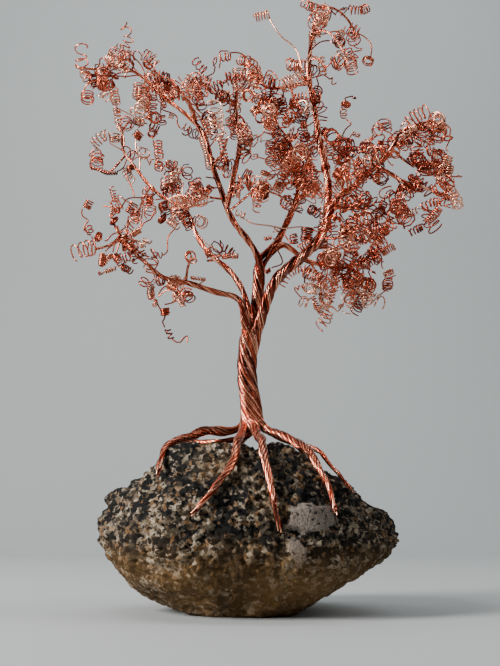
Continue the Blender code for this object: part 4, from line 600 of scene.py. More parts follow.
         9, 9, 2.3, 1.3),
        ([(-12, 212), (-14, 210)], [(-16, 211), (-17, 210.5)], 10, 10, 1.5, 2),
        ([(-17.5, 215), (-19, 213)], [(-21, 212.5), (-23, 209.5)], 5.5, 5.5, 1.8, 2),
        ([(-6, 211), (-7.5, 207.5)], [(-8, 204), (-7, 203.5)], 12.5, 11, 2.3, 1.7),
        ([(-5.5, 203), (-6, 202)], [(-7, 200.5), (-6.5, 194.5)], 11, 11, 2.2, 4),
        ([(-5, 198), (-4.5, 197.5)], [(-3.5, 195.5), (-3, 194.5)], 9.5, 9.5, 2, 1.5),
        ([(-4.5, 194), (-4.5, 192.5)], [(-2.5, 190.5), (-1.5, 190.5)], 8.5, 7, 1.7, 1.5),
        ([(-7.5, 169.5), (-4, 171.5)], [(-2.5, 174.5), (0, 173.5)], 3, 3, 2.8, 4),
        ([(-8, 167.5), (-4, 166)], [(-1.5, 168.5), (1, 169.5)], 2.5, 2.5, 2.3, 4),
        ([(-8.5, 164.5), (-6, 163.5)], [(-4, 166), (-6, 169)], 2, 0.5, 2.5, 4),
        ([(-8.5, 164.5), (-8.5, 164.5)], [(-7.5, 166.5), (-4, 166.5)], 2, 5, 2.1, 4)],
}

# Single wires that run free of the twigs, as seen from the front (X, Z), with the depth Y at both ends. A
# separate program wrote these rows too, apart from the first two of the high left bundle.
WIRES_APART = {
    "bundle_low_left": [
        ([(-54, 150), (-51, 153.5), (-49, 157), (-46.5, 158), (-41.5, 158)], -13, -11.5),
        ([(-42.5, 143), (-41, 145.5), (-38.5, 146.5), (-37, 149.5)], -17, -19),
        ([(-42.5, 143), (-42, 150.5), (-42, 155)], -17, -15),
        ([(-34, 133), (-32, 134.5), (-32, 139), (-31, 141.5), (-29, 143.5)], -15, -16.5),
        ([(-29.5, 99.5), (-27.5, 98), (-26, 98), (-25, 99.5), (-23.5, 100.5), (-23.5, 98)], -18.5, -18),
        ([(-31.5, 121.5), (-34, 119.5), (-35, 116.5), (-32.5, 118.5), (-30.5, 118.5)], -14, -17),
        ([(-27, 115), (-30, 113.5), (-32.5, 113)], -17, -17),
        ([(-27, 117.5), (-24.5, 119), (-22, 118)], -18, -20),
        ([(-24.5, 125.5), (-24.5, 127)], -11.5, -13.5),
        ([(-63.5, 142.5), (-64.5, 144.5)], -16, -16),
        ([(-55, 155), (-59, 156)], -9.5, -8)],
    "bundle_mid_left": [
        ([(-56.5, 195), (-56.5, 200), (-58, 203), (-59.5, 206.5)], 19.5, 22),
        ([(-41, 189.5), (-43.5, 189.5), (-44.5, 186.5), (-45.5, 189), (-47.5, 189.5), (-50, 189),
         (-52.5, 186.5)], 23, 18.5),
        ([(-52.5, 185), (-54, 180), (-52, 176), (-50, 170)], 18.5, 17),
        ([(-32.5, 175.5), (-29, 175), (-29, 170.5), (-28, 164), (-26.5, 160)], 13.5, 12),
        ([(-26, 154), (-22.5, 151), (-18.5, 146), (-14, 142.5)], 11, 7)],
    "bundle_crown": [
        ([(31.5, 219.5), (28.5, 217.5), (29, 214), (28, 210), (26, 209)], 2, -2.5)],
    "bundle_right": [
        ([(66, 165), (68.5, 165.5), (72.5, 167), (74, 171)], -19, -11),
        ([(52.5, 143.5), (54, 147), (55.5, 148)], -14, -15.5)],
    "bundle_back_right": [
        ([(59, 130), (56.5, 128), (55.5, 127)], 23.5, 22.5)],
    "bundle_high_left": [
        ([(-73, 220.2), (-70, 218.6), (-65.6, 217), (-60, 215.5)], -2, -2),
        ([(-72.6, 219), (-69.5, 218), (-65.6, 216.4), (-60, 215)], -1, -2.4),
        ([(-64, 213.5), (-58.5, 214), (-52, 213.5), (-46.5, 214), (-43.5, 212)], -7, -7),
        ([(-56.5, 232), (-53, 231), (-50, 228), (-47, 224.5), (-44.5, 218.5)], 3.5, 3),
        ([(-61, 214), (-58.5, 212), (-54, 214.5), (-49, 215.5), (-45, 214)], -10.5, -6),
        ([(-22, 192.5), (-22.5, 195), (-24.5, 199), (-26.5, 201.5), (-28.5, 204)], -8, -14.5),
        ([(-20.5, 195), (-22, 196), (-25, 199.5), (-27, 202.5), (-29.5, 205)], -7.5, -15),
        ([(-29, 204), (-32, 209), (-35, 211), (-38, 210), (-40, 210)], -14.5, -7),
        ([(-54, 192.5), (-54.5, 190), (-52, 187.5), (-51.5, 182.5)], -7.5, -6.5),
        ([(-47.5, 188), (-47, 182.5), (-45.5, 179), (-45.5, 174)], -3, -2),
        ([(-16, 163), (-18.5, 160.5), (-22, 159), (-25.5, 157)], -6, -3),
        ([(-14.5, 157.5), (-18.5, 156), (-24, 154)], -10, -11.5),
        ([(2.5, 164), (4.5, 163.5)], -19, -20)],
    "bundle_upright": [
        ([(-7, 200.5), (-10.5, 200.5), (-15, 201), (-19, 204.5), (-23.5, 208.5)], 11, 11.5),
        ([(-12, 198), (-14.5, 200.5), (-16, 203), (-16, 205.5), (-19, 208)], 11, 12),
        ([(-12, 212), (-16, 209.5), (-19.5, 209), (-23, 208.5), (-26, 209.5)], 10, 8.5),
        ([(-8, 223.5), (-11.5, 224), (-12.5, 220)], 14, 16.5),
        ([(-13.5, 226.5), (-13, 230.5), (-13.5, 234), (-13, 235), (-9.5, 235)], 9, 9.5)],
}

# Wire wound tight round a branch: where from the front (X, Z), the depth Y, outer radius and turns.
WRAPS = {
    "bundle_high_left": [
        ([(-19.5, 187.5), (-18, 182.5), (-17, 178.5), (-16, 173.5)], -5, 2.1, 13)],
    "bundle_crown": [
        ([(27, 240), (27, 234)], 3, 1.7, 6),
        ([(25.5, 227.5), (25.5, 222.5)], 2, 1.3, 6),
        ([(25, 218.5), (24, 215)], 1.5, 1.9, 5),
        ([(28.5, 144), (30, 156.5)], -7.5, 1.9, 8)],
}


def unit(azimuth, elevation):
    """The direction at this azimuth and elevation in degrees."""
    a = math.radians(azimuth)
    e = math.radians(elevation)
    return Vector((math.cos(a) * math.cos(e), math.sin(a) * math.cos(e), math.sin(e)))


# ---------------------------------------------------------------- rock
FACES = [unit(a, e) / d for a, e, d in ROCK_FACES]
OUTLINE = sorted((math.degrees(math.atan2(z - ROCK_CENTRE.z, x)) % 360, math.hypot(x, z - ROCK_CENTRE.z))
                 for x, z in ROCK_OUTLINE)


def outline_radius(angle):
    """Distance from the rock's centre to its front outline at this angle."""
    ring = [(OUTLINE[-1][0] - 360, OUTLINE[-1][1])] + OUTLINE + [(OUTLINE[0][0] + 360, OUTLINE[0][1])]
    for (a0, r0), (a1, r1) in zip(ring, ring[1:]):
        if a0 <= angle % 360 <= a1:
            return r0 + (r1 - r0) * (angle % 360 - a0) / (a1 - a0)


def rock_radius(direction):
    """The outline run straight back, cut by the faces, with edges rounded by a power mean."""
    flat = math.hypot(direction.x, direction.z)
    angle = math.degrees(math.atan2(direction.z, direction.x))
    total = (flat / outline_radius(angle)) ** ROCK_EDGE
    total += sum(max(0, direction.dot(face)) ** ROCK_EDGE for face in FACES)
    radius = total ** (-1 / ROCK_EDGE)
    return radius + CRAG * noise.noise(direction * radius / CRAG_SIZE)


# ---------------------------------------------------------------- routes
def smooth(points, step):
    """A Catmull-Rom curve through the points, with a new point about every step along it."""
    ends = [points[0] * 2 - points[1]] + points + [points[-1] * 2 - points[-2]]
    out = [points[0]]
    for i in range(1, len(ends) - 2):
        a, b, c, d = ends[i - 1:i + 3]
        pieces = max(1, round((c - b).length / step))
        for j in range(1, pieces + 1):
            t = j / pieces
            out.append(0.5 * (2 * b + (c - a) * t + (2 * a - 5 * b + 4 * c - d) * t ** 2
                              + (3 * b - a - 3 * c + d) * t ** 3))
    return out


def along(points):
    """How far along the route each point lies, from 0 to 1."""
    lengths = [0]
    for a, b in zip(points, points[1:]):
        lengths.append(lengths[-1] + (b - a).length)
    return [s / lengths[-1] for s in lengths]


def relax(points, passes):
    """Evens out the kinks in a line of points, leaving its ends in place."""
    for _ in range(passes):
        points = ([points[0]] + [(a + b * 2 + c) / 4 for a, b, c in zip(points, points[1:], points[2:])]
                  + [points[-1]])
    return points


def root(spec, rock):
    """From tip to trunk: places on the rock as azimuth, elevation and height over it."""
    points = []
    for azimuth, elevation, height in reversed(spec):
        direction = unit(azimuth, elevation)
        hit, normal, _, _ = rock.ray_cast((ROCK_CENTRE + direction * RAY_START) * MM, -direction)
        points.append(hit / MM + direction * height + normal * (ROOT_SWELL + GAP))
    return points


def frames(points):
    """A side vector at each point that turns as little as it can along the route."""
    sides = []
    side = None
    for i, point in enumerate(points):
        ahead = (points[min(i + 1, len(points) - 1)] - points[max(i - 1, 0)]).normalized()
        if side is None:
            side = ahead.orthogonal().normalized()
        side = (side - ahead * ahead.dot(side)).normalized()
        sides.append((side, ahead.cross(side)))
    return sides


def place_on(route, share):
    """The point at this share of a route's length, and the way the route runs there."""
    places = along(route)
    i = next(i for i, s in enumerate(places) if i > 0 and s >= share - 1e-6)
    part = (share - places[i - 1]) / (places[i] - places[i - 1])
    return route[i - 1].lerp(route[i], part), (route[i] - route[i - 1]).normalized()


# ---------------------------------------------------------------- wires in a strand
def wedge_slots(outer):
    """Each wire's place in its strand's wedge of a rope: its share of the wedge, and its layer."""
    inner = WIRES - outer
    return ([((k + 0.5) / outer - 0.5, 0) for k in range(outer)]
            + [((k + 0.5) / inner - 0.5, 1) for k in range(inner)])


def between(table, share):
    """The value at this share, read from a table of (share, value)."""
    for (a, low), (b, high) in zip(table, table[1:]):
        if share <= b:
            return low + (high - low) * ease((share - a) / (b - a))
    return table[-1][1]


def rope_stretch(centres, start, turn, ring, strands, reach, outer):
    """A strand in a rope: its centre at each point, and where each wire lies from there in the smooth lay."""
    line = smooth([Vector(c) for c in centres], FINE)
    out = []
    for i, (centre, s) in enumerate(zip(line, along(line))):
        ahead = (line[min(i + 1, len(line) - 1)] - line[max(i - 1, 0)]).normalized()
        side = (Vector((1, 0, 0)) - ahead * ahead.x).normalized()
        back = ahead.cross(side)
        a = math.radians(start + turn * s)
        around = between(ring, s) if isinstance(ring, list) else ring
        middle = centre + (side * math.cos(a) + back * math.sin(a)) * around
        wires = []
        for share, layer in wedge_slots(outer):
            b = a + 2 * math.pi * share / strands
            wobble = ROPE_WOBBLE * noise.noise(Vector((b * 3, s * 9, layer)))
            depth = between(reach, s) + wobble - LAYER * layer
            wires.append(centre + (side * math.cos(b) + back * math.sin(b)) * depth - middle)
        out.append((middle, wires))
    return out


def free_stretch(line, rings, lay, seed=0):
    """A strand by itself: its wires go round its centre, bunched in a few thinner strands."""
    out = []
    length = 0
    for i, (point, (side, back), ring) in enumerate(zip(line, frames(line), rings)):
        length += (point - line[i - 1]).length if i else 0
        wires = []
        for j in range(WIRES):
            a = 2 * math.pi * (j / WIRES + length / lay)
            lobe = abs(math.sin(math.pi * LOBES * (j + 0.5) / WIRES))
            wobble = FREE_WOBBLE * noise.noise(Vector((length / WOBBLE_LENGTH, j * 1.7, seed)))
            reach = ring * (1 - LOBE_DEPTH * (1 - lobe)) + wobble
            wires.append((side * math.cos(a) + back * math.sin(a)) * reach)
        out.append((point, wires))
    return out


def pair_up(last, first):
    """For each wire, the nearest free place in the stretch that follows."""
    options = sorted(((a - b).length_squared, i, j) for i, a in enumerate(last) for j, b in enumerate(first))
    match = {}
    for _, i, j in options:
        if i not in match and j not in match.values():
            match[i] = j
    return match


def ease(x):
    """A smooth rise from 0 to 1."""
    x = min(1, max(0, x))
    return x * x * (3 - 2 * x)


def join_stretches(stretches):
    """The strand's centre line, and every wire's offset from it, run smoothly from stretch to stretch."""
    middles = [m for m, _ in stretches[0]]
    offsets = [list(w) for _, w in stretches[0]]
    for stretch in stretches[1:]:
        match = pair_up(offsets[-1], stretch[0][1])
        fresh = [[w[match[i]] for i in range(WIRES)] for _, w in stretch]
        gap = max(1, round((stretch[0][0] - middles[-1]).length / FINE))
        start, end = middles[-1], stretch[0][0]
        held = offsets[-1]
        for k in range(1, gap):
            middles.append(start.lerp(end, k / gap))
            offsets.append(held)
        seam = len(middles)
        last = offsets[-1]
        for k in range(1, min(BLEND, seam) + 1):
            w = ease(0.5 - k / BLEND / 2)
            offsets[seam - k] = [a.lerp(b, w) for a, b in zip(offsets[seam - k], fresh[0])]
        for k, place in enumerate(fresh[:BLEND]):
            w = ease(0.5 + k / BLEND / 2)
            fresh[k] = [a.lerp(b, w) for a, b in zip(last, place)]
        middles += [m for m, _ in stretch]
        offsets += fresh
    return middles, offsets


class Bundle:
    """One bundle's strand, with its stretches joined, and the chains of points that become its wires."""

    def __init__(self, name, rock):
        self.name = name
        self.spec = BUNDLES[name]
        self.chains = []
        self.rng = random.Random(f"{SEED} wires {name}")
        self.lay_strand(rock)

    def wire(self, points, tone=None, kind=LAID, thick=WIRE, turns=0, phase=0, tilt=(0, 0, 0)):
        """Keeps one wire: its points, radius and tone, and how it is wound if it is a ringlet."""
        points = [keep_inside(p, 2 * WIRE) for p in points]
        thick = thick if isinstance(thick, list) else [thick] * len(points)
        tone = self.rng.random() if tone is None else tone
        self.chains.append((points, thick, tilt, dict(kind=kind, tone=tone, turns=turns, phase=phase)))

    def climb(self):
        """The strand's way up the trunk."""
        if self.name == MIDDLE:
            line = [(*TRUNK_LINE[0][:2], MIDDLE_FOOT)] + TRUNK_LINE
            return rope_stretch(line, 0, TRUNK_TURN, 0, 1, ROPE_REACH[1], ROPE_OUTER)
        return rope_stretch(TRUNK_LINE, self.spec["phase"], TRUNK_TURN, TRUNK_RING, OUTER_STRANDS,
                            TRUNK_REACH, TRUNK_OUTER)

    def lay_strand(self, rock):
        """Joins the strand's stretches, from root to branch, and lays its wires in them."""
        spec = self.spec
        if "root" not in spec:
            route = [Vector(p) for p in [LIMB_STARTS[self.name]] + spec["branch"]]
            branch = relax(smooth(route, FINE), 4)
            self.lay_wires(*join_stretches([self.branch_stretch(branch)]), 0, 0)
            return
        line = relax(smooth(root(spec["root"], rock), FINE), 10)
        shares = along(line)
        swell = spec.get("swell", ROOT_SWELL)
        rings = [ROOT_TIP + (ROOT_SWELL - ROOT_TIP) * min(1, ROOT_RISE * s) - WIRE_INSET
                 + (swell - ROOT_SWELL) * min(1, max(0, SWELL_RISE * s - ROOT_RISE)) for s in shares]
        stretches = [free_stretch(line, rings, LAY, spec["phase"]), self.climb()]
        for rope in ROPES:
            if self.name in rope["strands"]:
                strands = len(rope["strands"])
                stretches.append(rope_stretch(rope["line"], rope["strands"][self.name], rope["turn"],
                                              rope["ring"], strands, ROPE_REACH[strands], ROPE_OUTER))
        branch = smooth([stretches[-1][-1][0]] + [Vector(p) for p in spec["branch"]], FINE)[1:]
        stretches.append(self.branch_stretch(branch))
        middles, offsets = join_stretches(stretches)
        self.lay_wires(relax(middles, 12), offsets, len(line), len(middles) - len(branch))

    def branch_stretch(self, branch):
        """The branch's stretch, which thins towards its tip."""
        thick, thin = self.spec["radii"]
        rings = [max(THINNEST, thick + (thin - thick) * s - BRANCH_INSET) for s in along(branch)]
        return free_stretch(branch, rings, LAY, self.spec.get("phase", 0) + 7)

    def lay_wires(self, middles, offsets, root_count, branch_start):
        """The strand's wires, which start one after another along the root and leave along the branch."""
        self.branch = branch = middles[branch_start:]
        thick, thin = self.spec["radii"]
        tail_every = LIMB_TAIL_EVERY if self.name in LIMB_STARTS else TAIL_EVERY
        for j in range(WIRES):
            first = round(root_count * ROOT_STARTS[0] * (j * GOLDEN % 1) ** ROOT_STARTS[1])
            share = 1 - BRANCH_ENDS[0] * (((j + 0.5) * GOLDEN) % 1) ** BRANCH_ENDS[1]
            last = branch_start + round(len(branch) * share)
            points = [m + offsets[first + k][j] for k, m in enumerate(middles[first:last])]
            # Neighbouring wires alternate dark and bright, painted shade and highlight from wire to wire,
            # with a random spread.
            self.wire(points, SHADE_AND_HIGHLIGHT_TONES[j % 2] + self.rng.uniform(-TONE_SPREAD, TONE_SPREAD))
            if j % tail_every == 0:
                self.tail(points, middles[last - 1])
        self.wire(branch[-len(branch) // 4::2], kind=TWIG)
        # The strand's core, a dark tube inside its wires: painted shade where the gaps between them would
        # show.
        core = middles[4:branch_start + round(len(branch) * 0.9):3]
        reach = [CORE_TIP + (ROOT_SWELL - 2 * CORE_TIP) * min(1, k / CORE_RISE) for k in range(len(core))]
        for k in range(1, min(CORE_FALL, len(reach)) + 1):
            taper = (thick - thin) * k / CORE_SLOPE
            reach[-k] = min(reach[-k], max(THINNEST, thin - CORE_TIP) + taper)
        self.wire(core, tone=CORE_SHADE_TONE, kind=CORE, thick=reach)

    def tail(self, points, middle):
        """A wire that leaves the branch ends in a ringlet."""
        start = points[-1]
        ahead = (points[-1] - points[-3]).normalized()
        out = (start - middle).normalized()
        rng = self.rng
        lead = start + ahead * rng.uniform(*TAIL_LEAD[0]) + out * rng.uniform(*TAIL_LEAD[1])
        heading = out * rng.uniform(*TAIL_HEADING[1]) + ahead * rng.uniform(*TAIL_HEADING[0])
        self.hang_coil([start, lead], heading, rng)

    def hang_coil(self, lead, heading, rng):
        """A lead, and one ringlet or a chain of two at the end of it, which bends over as it hangs."""
        stray = Vector([rng.uniform(-SCATTER, SCATTER) for _ in "xyz"])
        heading = (heading.normalized() + stray).normalized()
        far = rng.uniform(*LONG_LEAD) if rng.random() < LONG_SHARE else rng.uniform(*SHORT_LEAD)
        tone = rng.random()
        for _ in range(1 if rng.random() < SINGLE_SHARE else 2):
            arch = Vector((0, 0, rng.uniform(*LEAD_RISE)))
            lead = lead + [lead[-1] + heading * far * 0.6 + arch, lead[-1] + heading * far]
            length = rng.uniform(*COIL_LENGTH)
            bend = Vector((rng.uniform(-1, 1), rng.uniform(-1, 1), rng.uniform(*BEND_RISE))) * BEND
            axis = [lead[-1]]
            for _ in range(COIL_BENDS):
                heading = (heading + bend).normalized()
                axis.append(axis[-1] + heading * length / COIL_BENDS)
            self.coil(lead, axis, rng.uniform(*RINGLET), rng, tone)
            lead = [axis[-1]]
            far = rng.uniform(*CHAIN_LEAD)

    def coil(self, lead, axis, radius, rng, tone=None, turns=None, tilt=None):
        """Winds wire round an axis; its loops lean over by the tilt, so that they show as rings."""
        radius -= WIRE
        if tilt is None:
            tilt = Vector((rng.gauss(0, LEAN_SIDE), rng.choice((-1, 1)) * LEAN_FRONT,
                           rng.gauss(0, LEAN_SIDE)))
            tilt.normalize()
            tilt *= rng.choice(LEAN) * rng.uniform(*LEAN_SPREAD)
        axis = [keep_inside(p, radius * (1 + 0.4 * tilt.length) + WIRE) for p in axis]
        tone = rng.random() if tone is None else tone
        angles = [2 * math.pi * k / PHASES for k in range(PHASES)]
        starts = [(ring_start(axis, radius, angle, tilt), angle) for angle in angles]
        start, phase = min(starts, key=lambda s: (s[0] - lead[-1]).length + (s[0] - lead[-2]).length)
        self.wire(smooth(lead[:-1] + [start], LEAD_STEP), tone)
        length = sum((b - a).length for a, b in zip(axis, axis[1:]))
        pitch = rng.choice(PITCH) * rng.uniform(*PITCH_SPREAD)
        turns = turns or min(MOST_TURNS, max(FEWEST_TURNS, length / pitch))
        self.wire(axis, tone, COIL, radius, turns, phase, tilt)


def ring_start(axis, radius, phase, tilt):
    """Where the node tree's winding begins on its rim, so that the lead can run into it."""
    ahead = (axis[1] - axis[0]).normalized()
    upright = abs(ahead.x) + abs(ahead.y) <= 1e-4
    normal = Vector((1, 0, 0)) if upright else Vector((ahead.y, -ahead.x, 0)).normalized()
    turn = phase + 2 * math.pi * WANDER * math.sin(phase)
    ring = radius * (math.sin(phase * 3) * RING_WAVE + RING_MEAN)
    offset = (normal * math.cos(turn) + ahead.cross(normal) * math.sin(turn)) * ring
    return axis[0] + offset + ahead * offset.dot(tilt)


def keep_inside(point, margin):
    """Moves a point just enough to keep what is round it inside the solids' box."""
    low, high = (Vector(corner) / MM for corner in CAD_BOX)
    return Vector([min(max(p, a + margin + BOX_GAP), b - margin - BOX_GAP)
                   for p, a, b in zip(point, low, high)])


def nearest(point, line):
    """The place in a line of points that is nearest to this one."""
    return min(line, key=lambda p: (p - point).length)


def add_twigs(bundle, extra):
    """The bundle's twigs, each a few wires twisted together, with a few ringlets of their own."""
    lines = [bundle.branch[len(bundle.branch) // 3:]]
    for points in bundle.spec["twigs"]:
        line = [Vector(p) for p in points]
        line[0] = nearest(line[0], bundle.branch)
        lines.append(smooth(line, TWIG_STEP))
        bundle.wire(relax(smooth(line, 1.5), 3), kind=TWIG)
    for twig, line in enumerate(lines):
        for index in range(extra):
            rng = random.Random(f"{SEED} {bundle.name} {twig} {index} turns")
            start, ahead = place_on(line, 1 - (index * GOLDEN + FIRST_PLACE) % 1 * TWIG_SHARE)
            swing = Vector([rng.uniform(-1, 1) for _ in "xyz"])
            heading = swing + ahead * rng.uniform(*TWIG_AHEAD)
            bundle.hang_coil([start, start + ahead * TWIG_LEAD], heading, rng)


def at_depths(points, first, last):
    """Places seen from the front (X, Z), with a depth that changes evenly from one end to the other."""
    return [Vector((x, first + (last - first) * i / (len(points) - 1), z)) for i, (x, z) in enumerate(points)]


def add_ringlets(bundle):
    """The ringlets, free wires and tight windings that the tables place."""
    for number, (lead, axis, y_start, y_coil, radius, turns) in enumerate(CURLS[bundle.name]):
        rng = random.Random(f"{SEED} {bundle.name} {number} ringlet")
        lean = Vector((rng.gauss(0, TABLE_SIDE), rng.choice((-1, 1)) * rng.uniform(*TABLE_LEAN),
                       rng.gauss(0, TABLE_SIDE)))
        y_far = y_coil + rng.uniform(-DEPTH_DRIFT, DEPTH_DRIFT)
        bundle.coil(at_depths(lead, y_start, y_coil), at_depths(axis, y_coil, y_far), radius, rng,
                    turns=turns, tilt=lean)
    for points, y_start, y_end in WIRES_APART.get(bundle.name, []):
        bundle.wire(smooth(at_depths(points, y_start, y_end), LEAD_STEP))
    for points, depth, radius, turns in WRAPS.get(bundle.name, []):
        bundle.wire(at_depths(points, depth, depth), WRAP_TONE, COIL, radius - WIRE, turns)


def add_second_root(bundle, rock):
    """The side root, which every other wire of the bundle makes."""
    line = relax(smooth(root(bundle.spec["second_root"], rock), FINE), 10)
    rings = [max(0.25, ROOT_TIP + (SECOND_ROOT - ROOT_TIP) * s - 0.3) for s in along(line)]
    places = free_stretch(line, rings, LAY * SECOND_LAY, 3)
    for j in range(0, WIRES, 2):
        first = round(len(line) * SECOND_STARTS * (j * GOLDEN % 1))
        bundle.wire([m + w[j] for m, w in places[first:]])
    # A dark core inside the side root's wires: painted shade in the gaps between them.
    core = line[4::3]
    bundle.wire(core, tone=CORE_SHADE_TONE, kind=CORE, thick=[0.3 + 0.4 * s for s in along(core)])


def chains_mesh(name, chains):
    """Chains of points as a mesh of loose edges that carries each chain's numbers."""
    points, edges = [], []
    values = {key: [] for key in ("thick", "kind", "tone", "turns", "phase")}
    tilts = []
    for chain, thick, tilt, numbers in chains:
        first = len(points)
        points += [p * MM for p in chain]
        edges += [(i, i + 1) for i in range(first, len(points) - 1)]
        values["thick"] += [t * MM for t in thick]
        tilts += [c for _ in chain for c in tilt]
        for key, number in numbers.items():
            values[key] += [number] * len(chain)
    mesh = bpy.data.meshes.new(name)
    mesh.from_pydata(points, edges, [])
    for key, numbers in values.items():
        mesh.attributes.new(key, "FLOAT", "POINT").data.foreach_set("value", numbers)
    mesh.attributes.new("tilt", "FLOAT_VECTOR", "POINT").data.foreach_set("vector", tilts)
    return mesh


# ---------------------------------------------------------------- node trees
class Value:
    """A socket that Python's operators combine through Math nodes."""

    def __init__(self, tree, socket):
        self.tree = tree
        self.socket = socket

    def math(self, operation, *others):
        """The value put through a Math node."""
        return self.tree.node("ShaderNodeMath", dict(operation=operation), [self, *others])

    def also(self, output):
        """Another output of the node that this value comes from."""
        return Value(self.tree, self.socket.node.outputs[output])

    def __add__(self, other):
        return self.math("ADD", other)

    def __mul__(self, other):
        return self.math("MULTIPLY", other)

    def __sub__(self, other):
        return self.math("SUBTRACT", other)

    def __truediv__(self, other):
        return self.math("DIVIDE", other)

    def __rsub__(self, other):
        return self * -1 + other

    __radd__ = __add__
    __rmul__ = __mul__

    def between(self, low, high):
        """0 below low, 1 above high, and a smooth rise from one to the other."""
        return self.tree.node("ShaderNodeMapRange", dict(interpolation_type="SMOOTHSTEP"),
                              {0: self, 1: low, 2: high})


class Tree:
    """A node tree, with one method that adds any node."""

    def __init__(self, tree):
        self.tree = tree

    def node(self, kind, settings=None, inputs=None, output=0):
        """Adds a node, sets it, fills its inputs with values or links, and returns one of its outputs."""
        node = self.tree.nodes.new(kind)
        for name, value in (settings or {}).items():
            if name == "stops":
                set_stops(node.color_ramp, value)
            else:
                setattr(node, name, value)
        pairs = inputs.items() if isinstance(inputs, dict) else enumerate(inputs or [])
        for name, value in pairs:
            self.fill(node.inputs[name], value)
        return Value(self, node.outputs[output]) if node.outputs else None

    def fill(self, socket, value):
        """Gives an input its value or its link, or all its links where it takes several."""
        if isinstance(value, Value):
            self.tree.links.new(value.socket, socket)
        elif isinstance(value, list):
            for part in value:
                self.fill(socket, part)
        else:
            socket.default_value = value

    def vector(self, operation, *inputs):
        """Vector maths on values or plain vectors."""
        return self.node("ShaderNodeVectorMath", dict(operation=operation), inputs)

    def scaled(self, vector, factor):
        """A vector made longer or shorter."""
        return self.node("ShaderNodeVectorMath", dict(operation="SCALE"), {0: vector, "Scale": factor})

    def mix(self, factor, first, second):
        """The first colour, giving way to the second as the factor rises."""
        return self.node("ShaderNodeMix", dict(data_type="RGBA"), {0: factor, 6: first, 7: second}, 2)


def set_stops(ramp, stops):
    """Gives a colour ramp its places and colours."""
    while len(ramp.elements) > 1:
        ramp.elements.remove(ramp.elements[-1])
    for i, (place, colour) in enumerate(stops):
        element = ramp.elements[0] if i == 0 else ramp.elements.new(place)
        element.position = place
        element.color = (*colour, 1) if len(colour) == 3 else colour


def geometry_tree(name, inputs):
    """A Geometry Nodes tree with named inputs; returns the tree and its inputs as values."""
    group = bpy.data.node_groups.new(name, "GeometryNodeTree")
    group.interface.new_socket("Geometry", in_out="OUTPUT", socket_type="NodeSocketGeometry")
    group.interface.new_socket("Geometry", in_out="INPUT", socket_type="NodeSocketGeometry")
    for label, (kind, value) in inputs.items():
        socket = group.interface.new_socket(label, in_out="INPUT", socket_type="NodeSocket" + kind)
        if value is not None:
            socket.default_value = value
    tree = Tree(group)
    entry = tree.node("NodeGroupInput")
    return tree, {label: entry.also(label) for label in ["Geometry", *inputs]}


def close_tree(tree, geometry, finish):
    """Ends the tree in Realize Instances and Set Material."""
    geometry = tree.node("GeometryNodeRealizeInstances", {}, [geometry])
    geometry = tree.node("GeometryNodeSetMaterial", {}, {"Geometry": geometry, "Material": finish})
    tree.node("NodeGroupOutput", {}, [geometry])
    return tree.tree


def grow(name, mesh, group, **values):
    """Runs a tree on a mesh and keeps the result as a plain mesh."""
    mesh.materials.append(values["finish"])
    obj = bpy.data.objects.new(name, mesh)
    bpy.context.scene.collection.objects.link(obj)
    modifier = obj.modifiers.new("grow", "NODES")
    modifier.node_group = group
    for item in group.interface.items_tree:
        key = item.name.lower().replace(" ", "_")
        if item.in_out == "INPUT" and key in values:
            modifier[item.identifier] = values[key]
    graph = bpy.context.evaluated_depsgraph_get()
    grown = bpy.data.meshes.new_from_object(obj.evaluated_get(graph))
    obj.modifiers.remove(modifier)
    obj.data = grown
    grown.name = name
    return obj


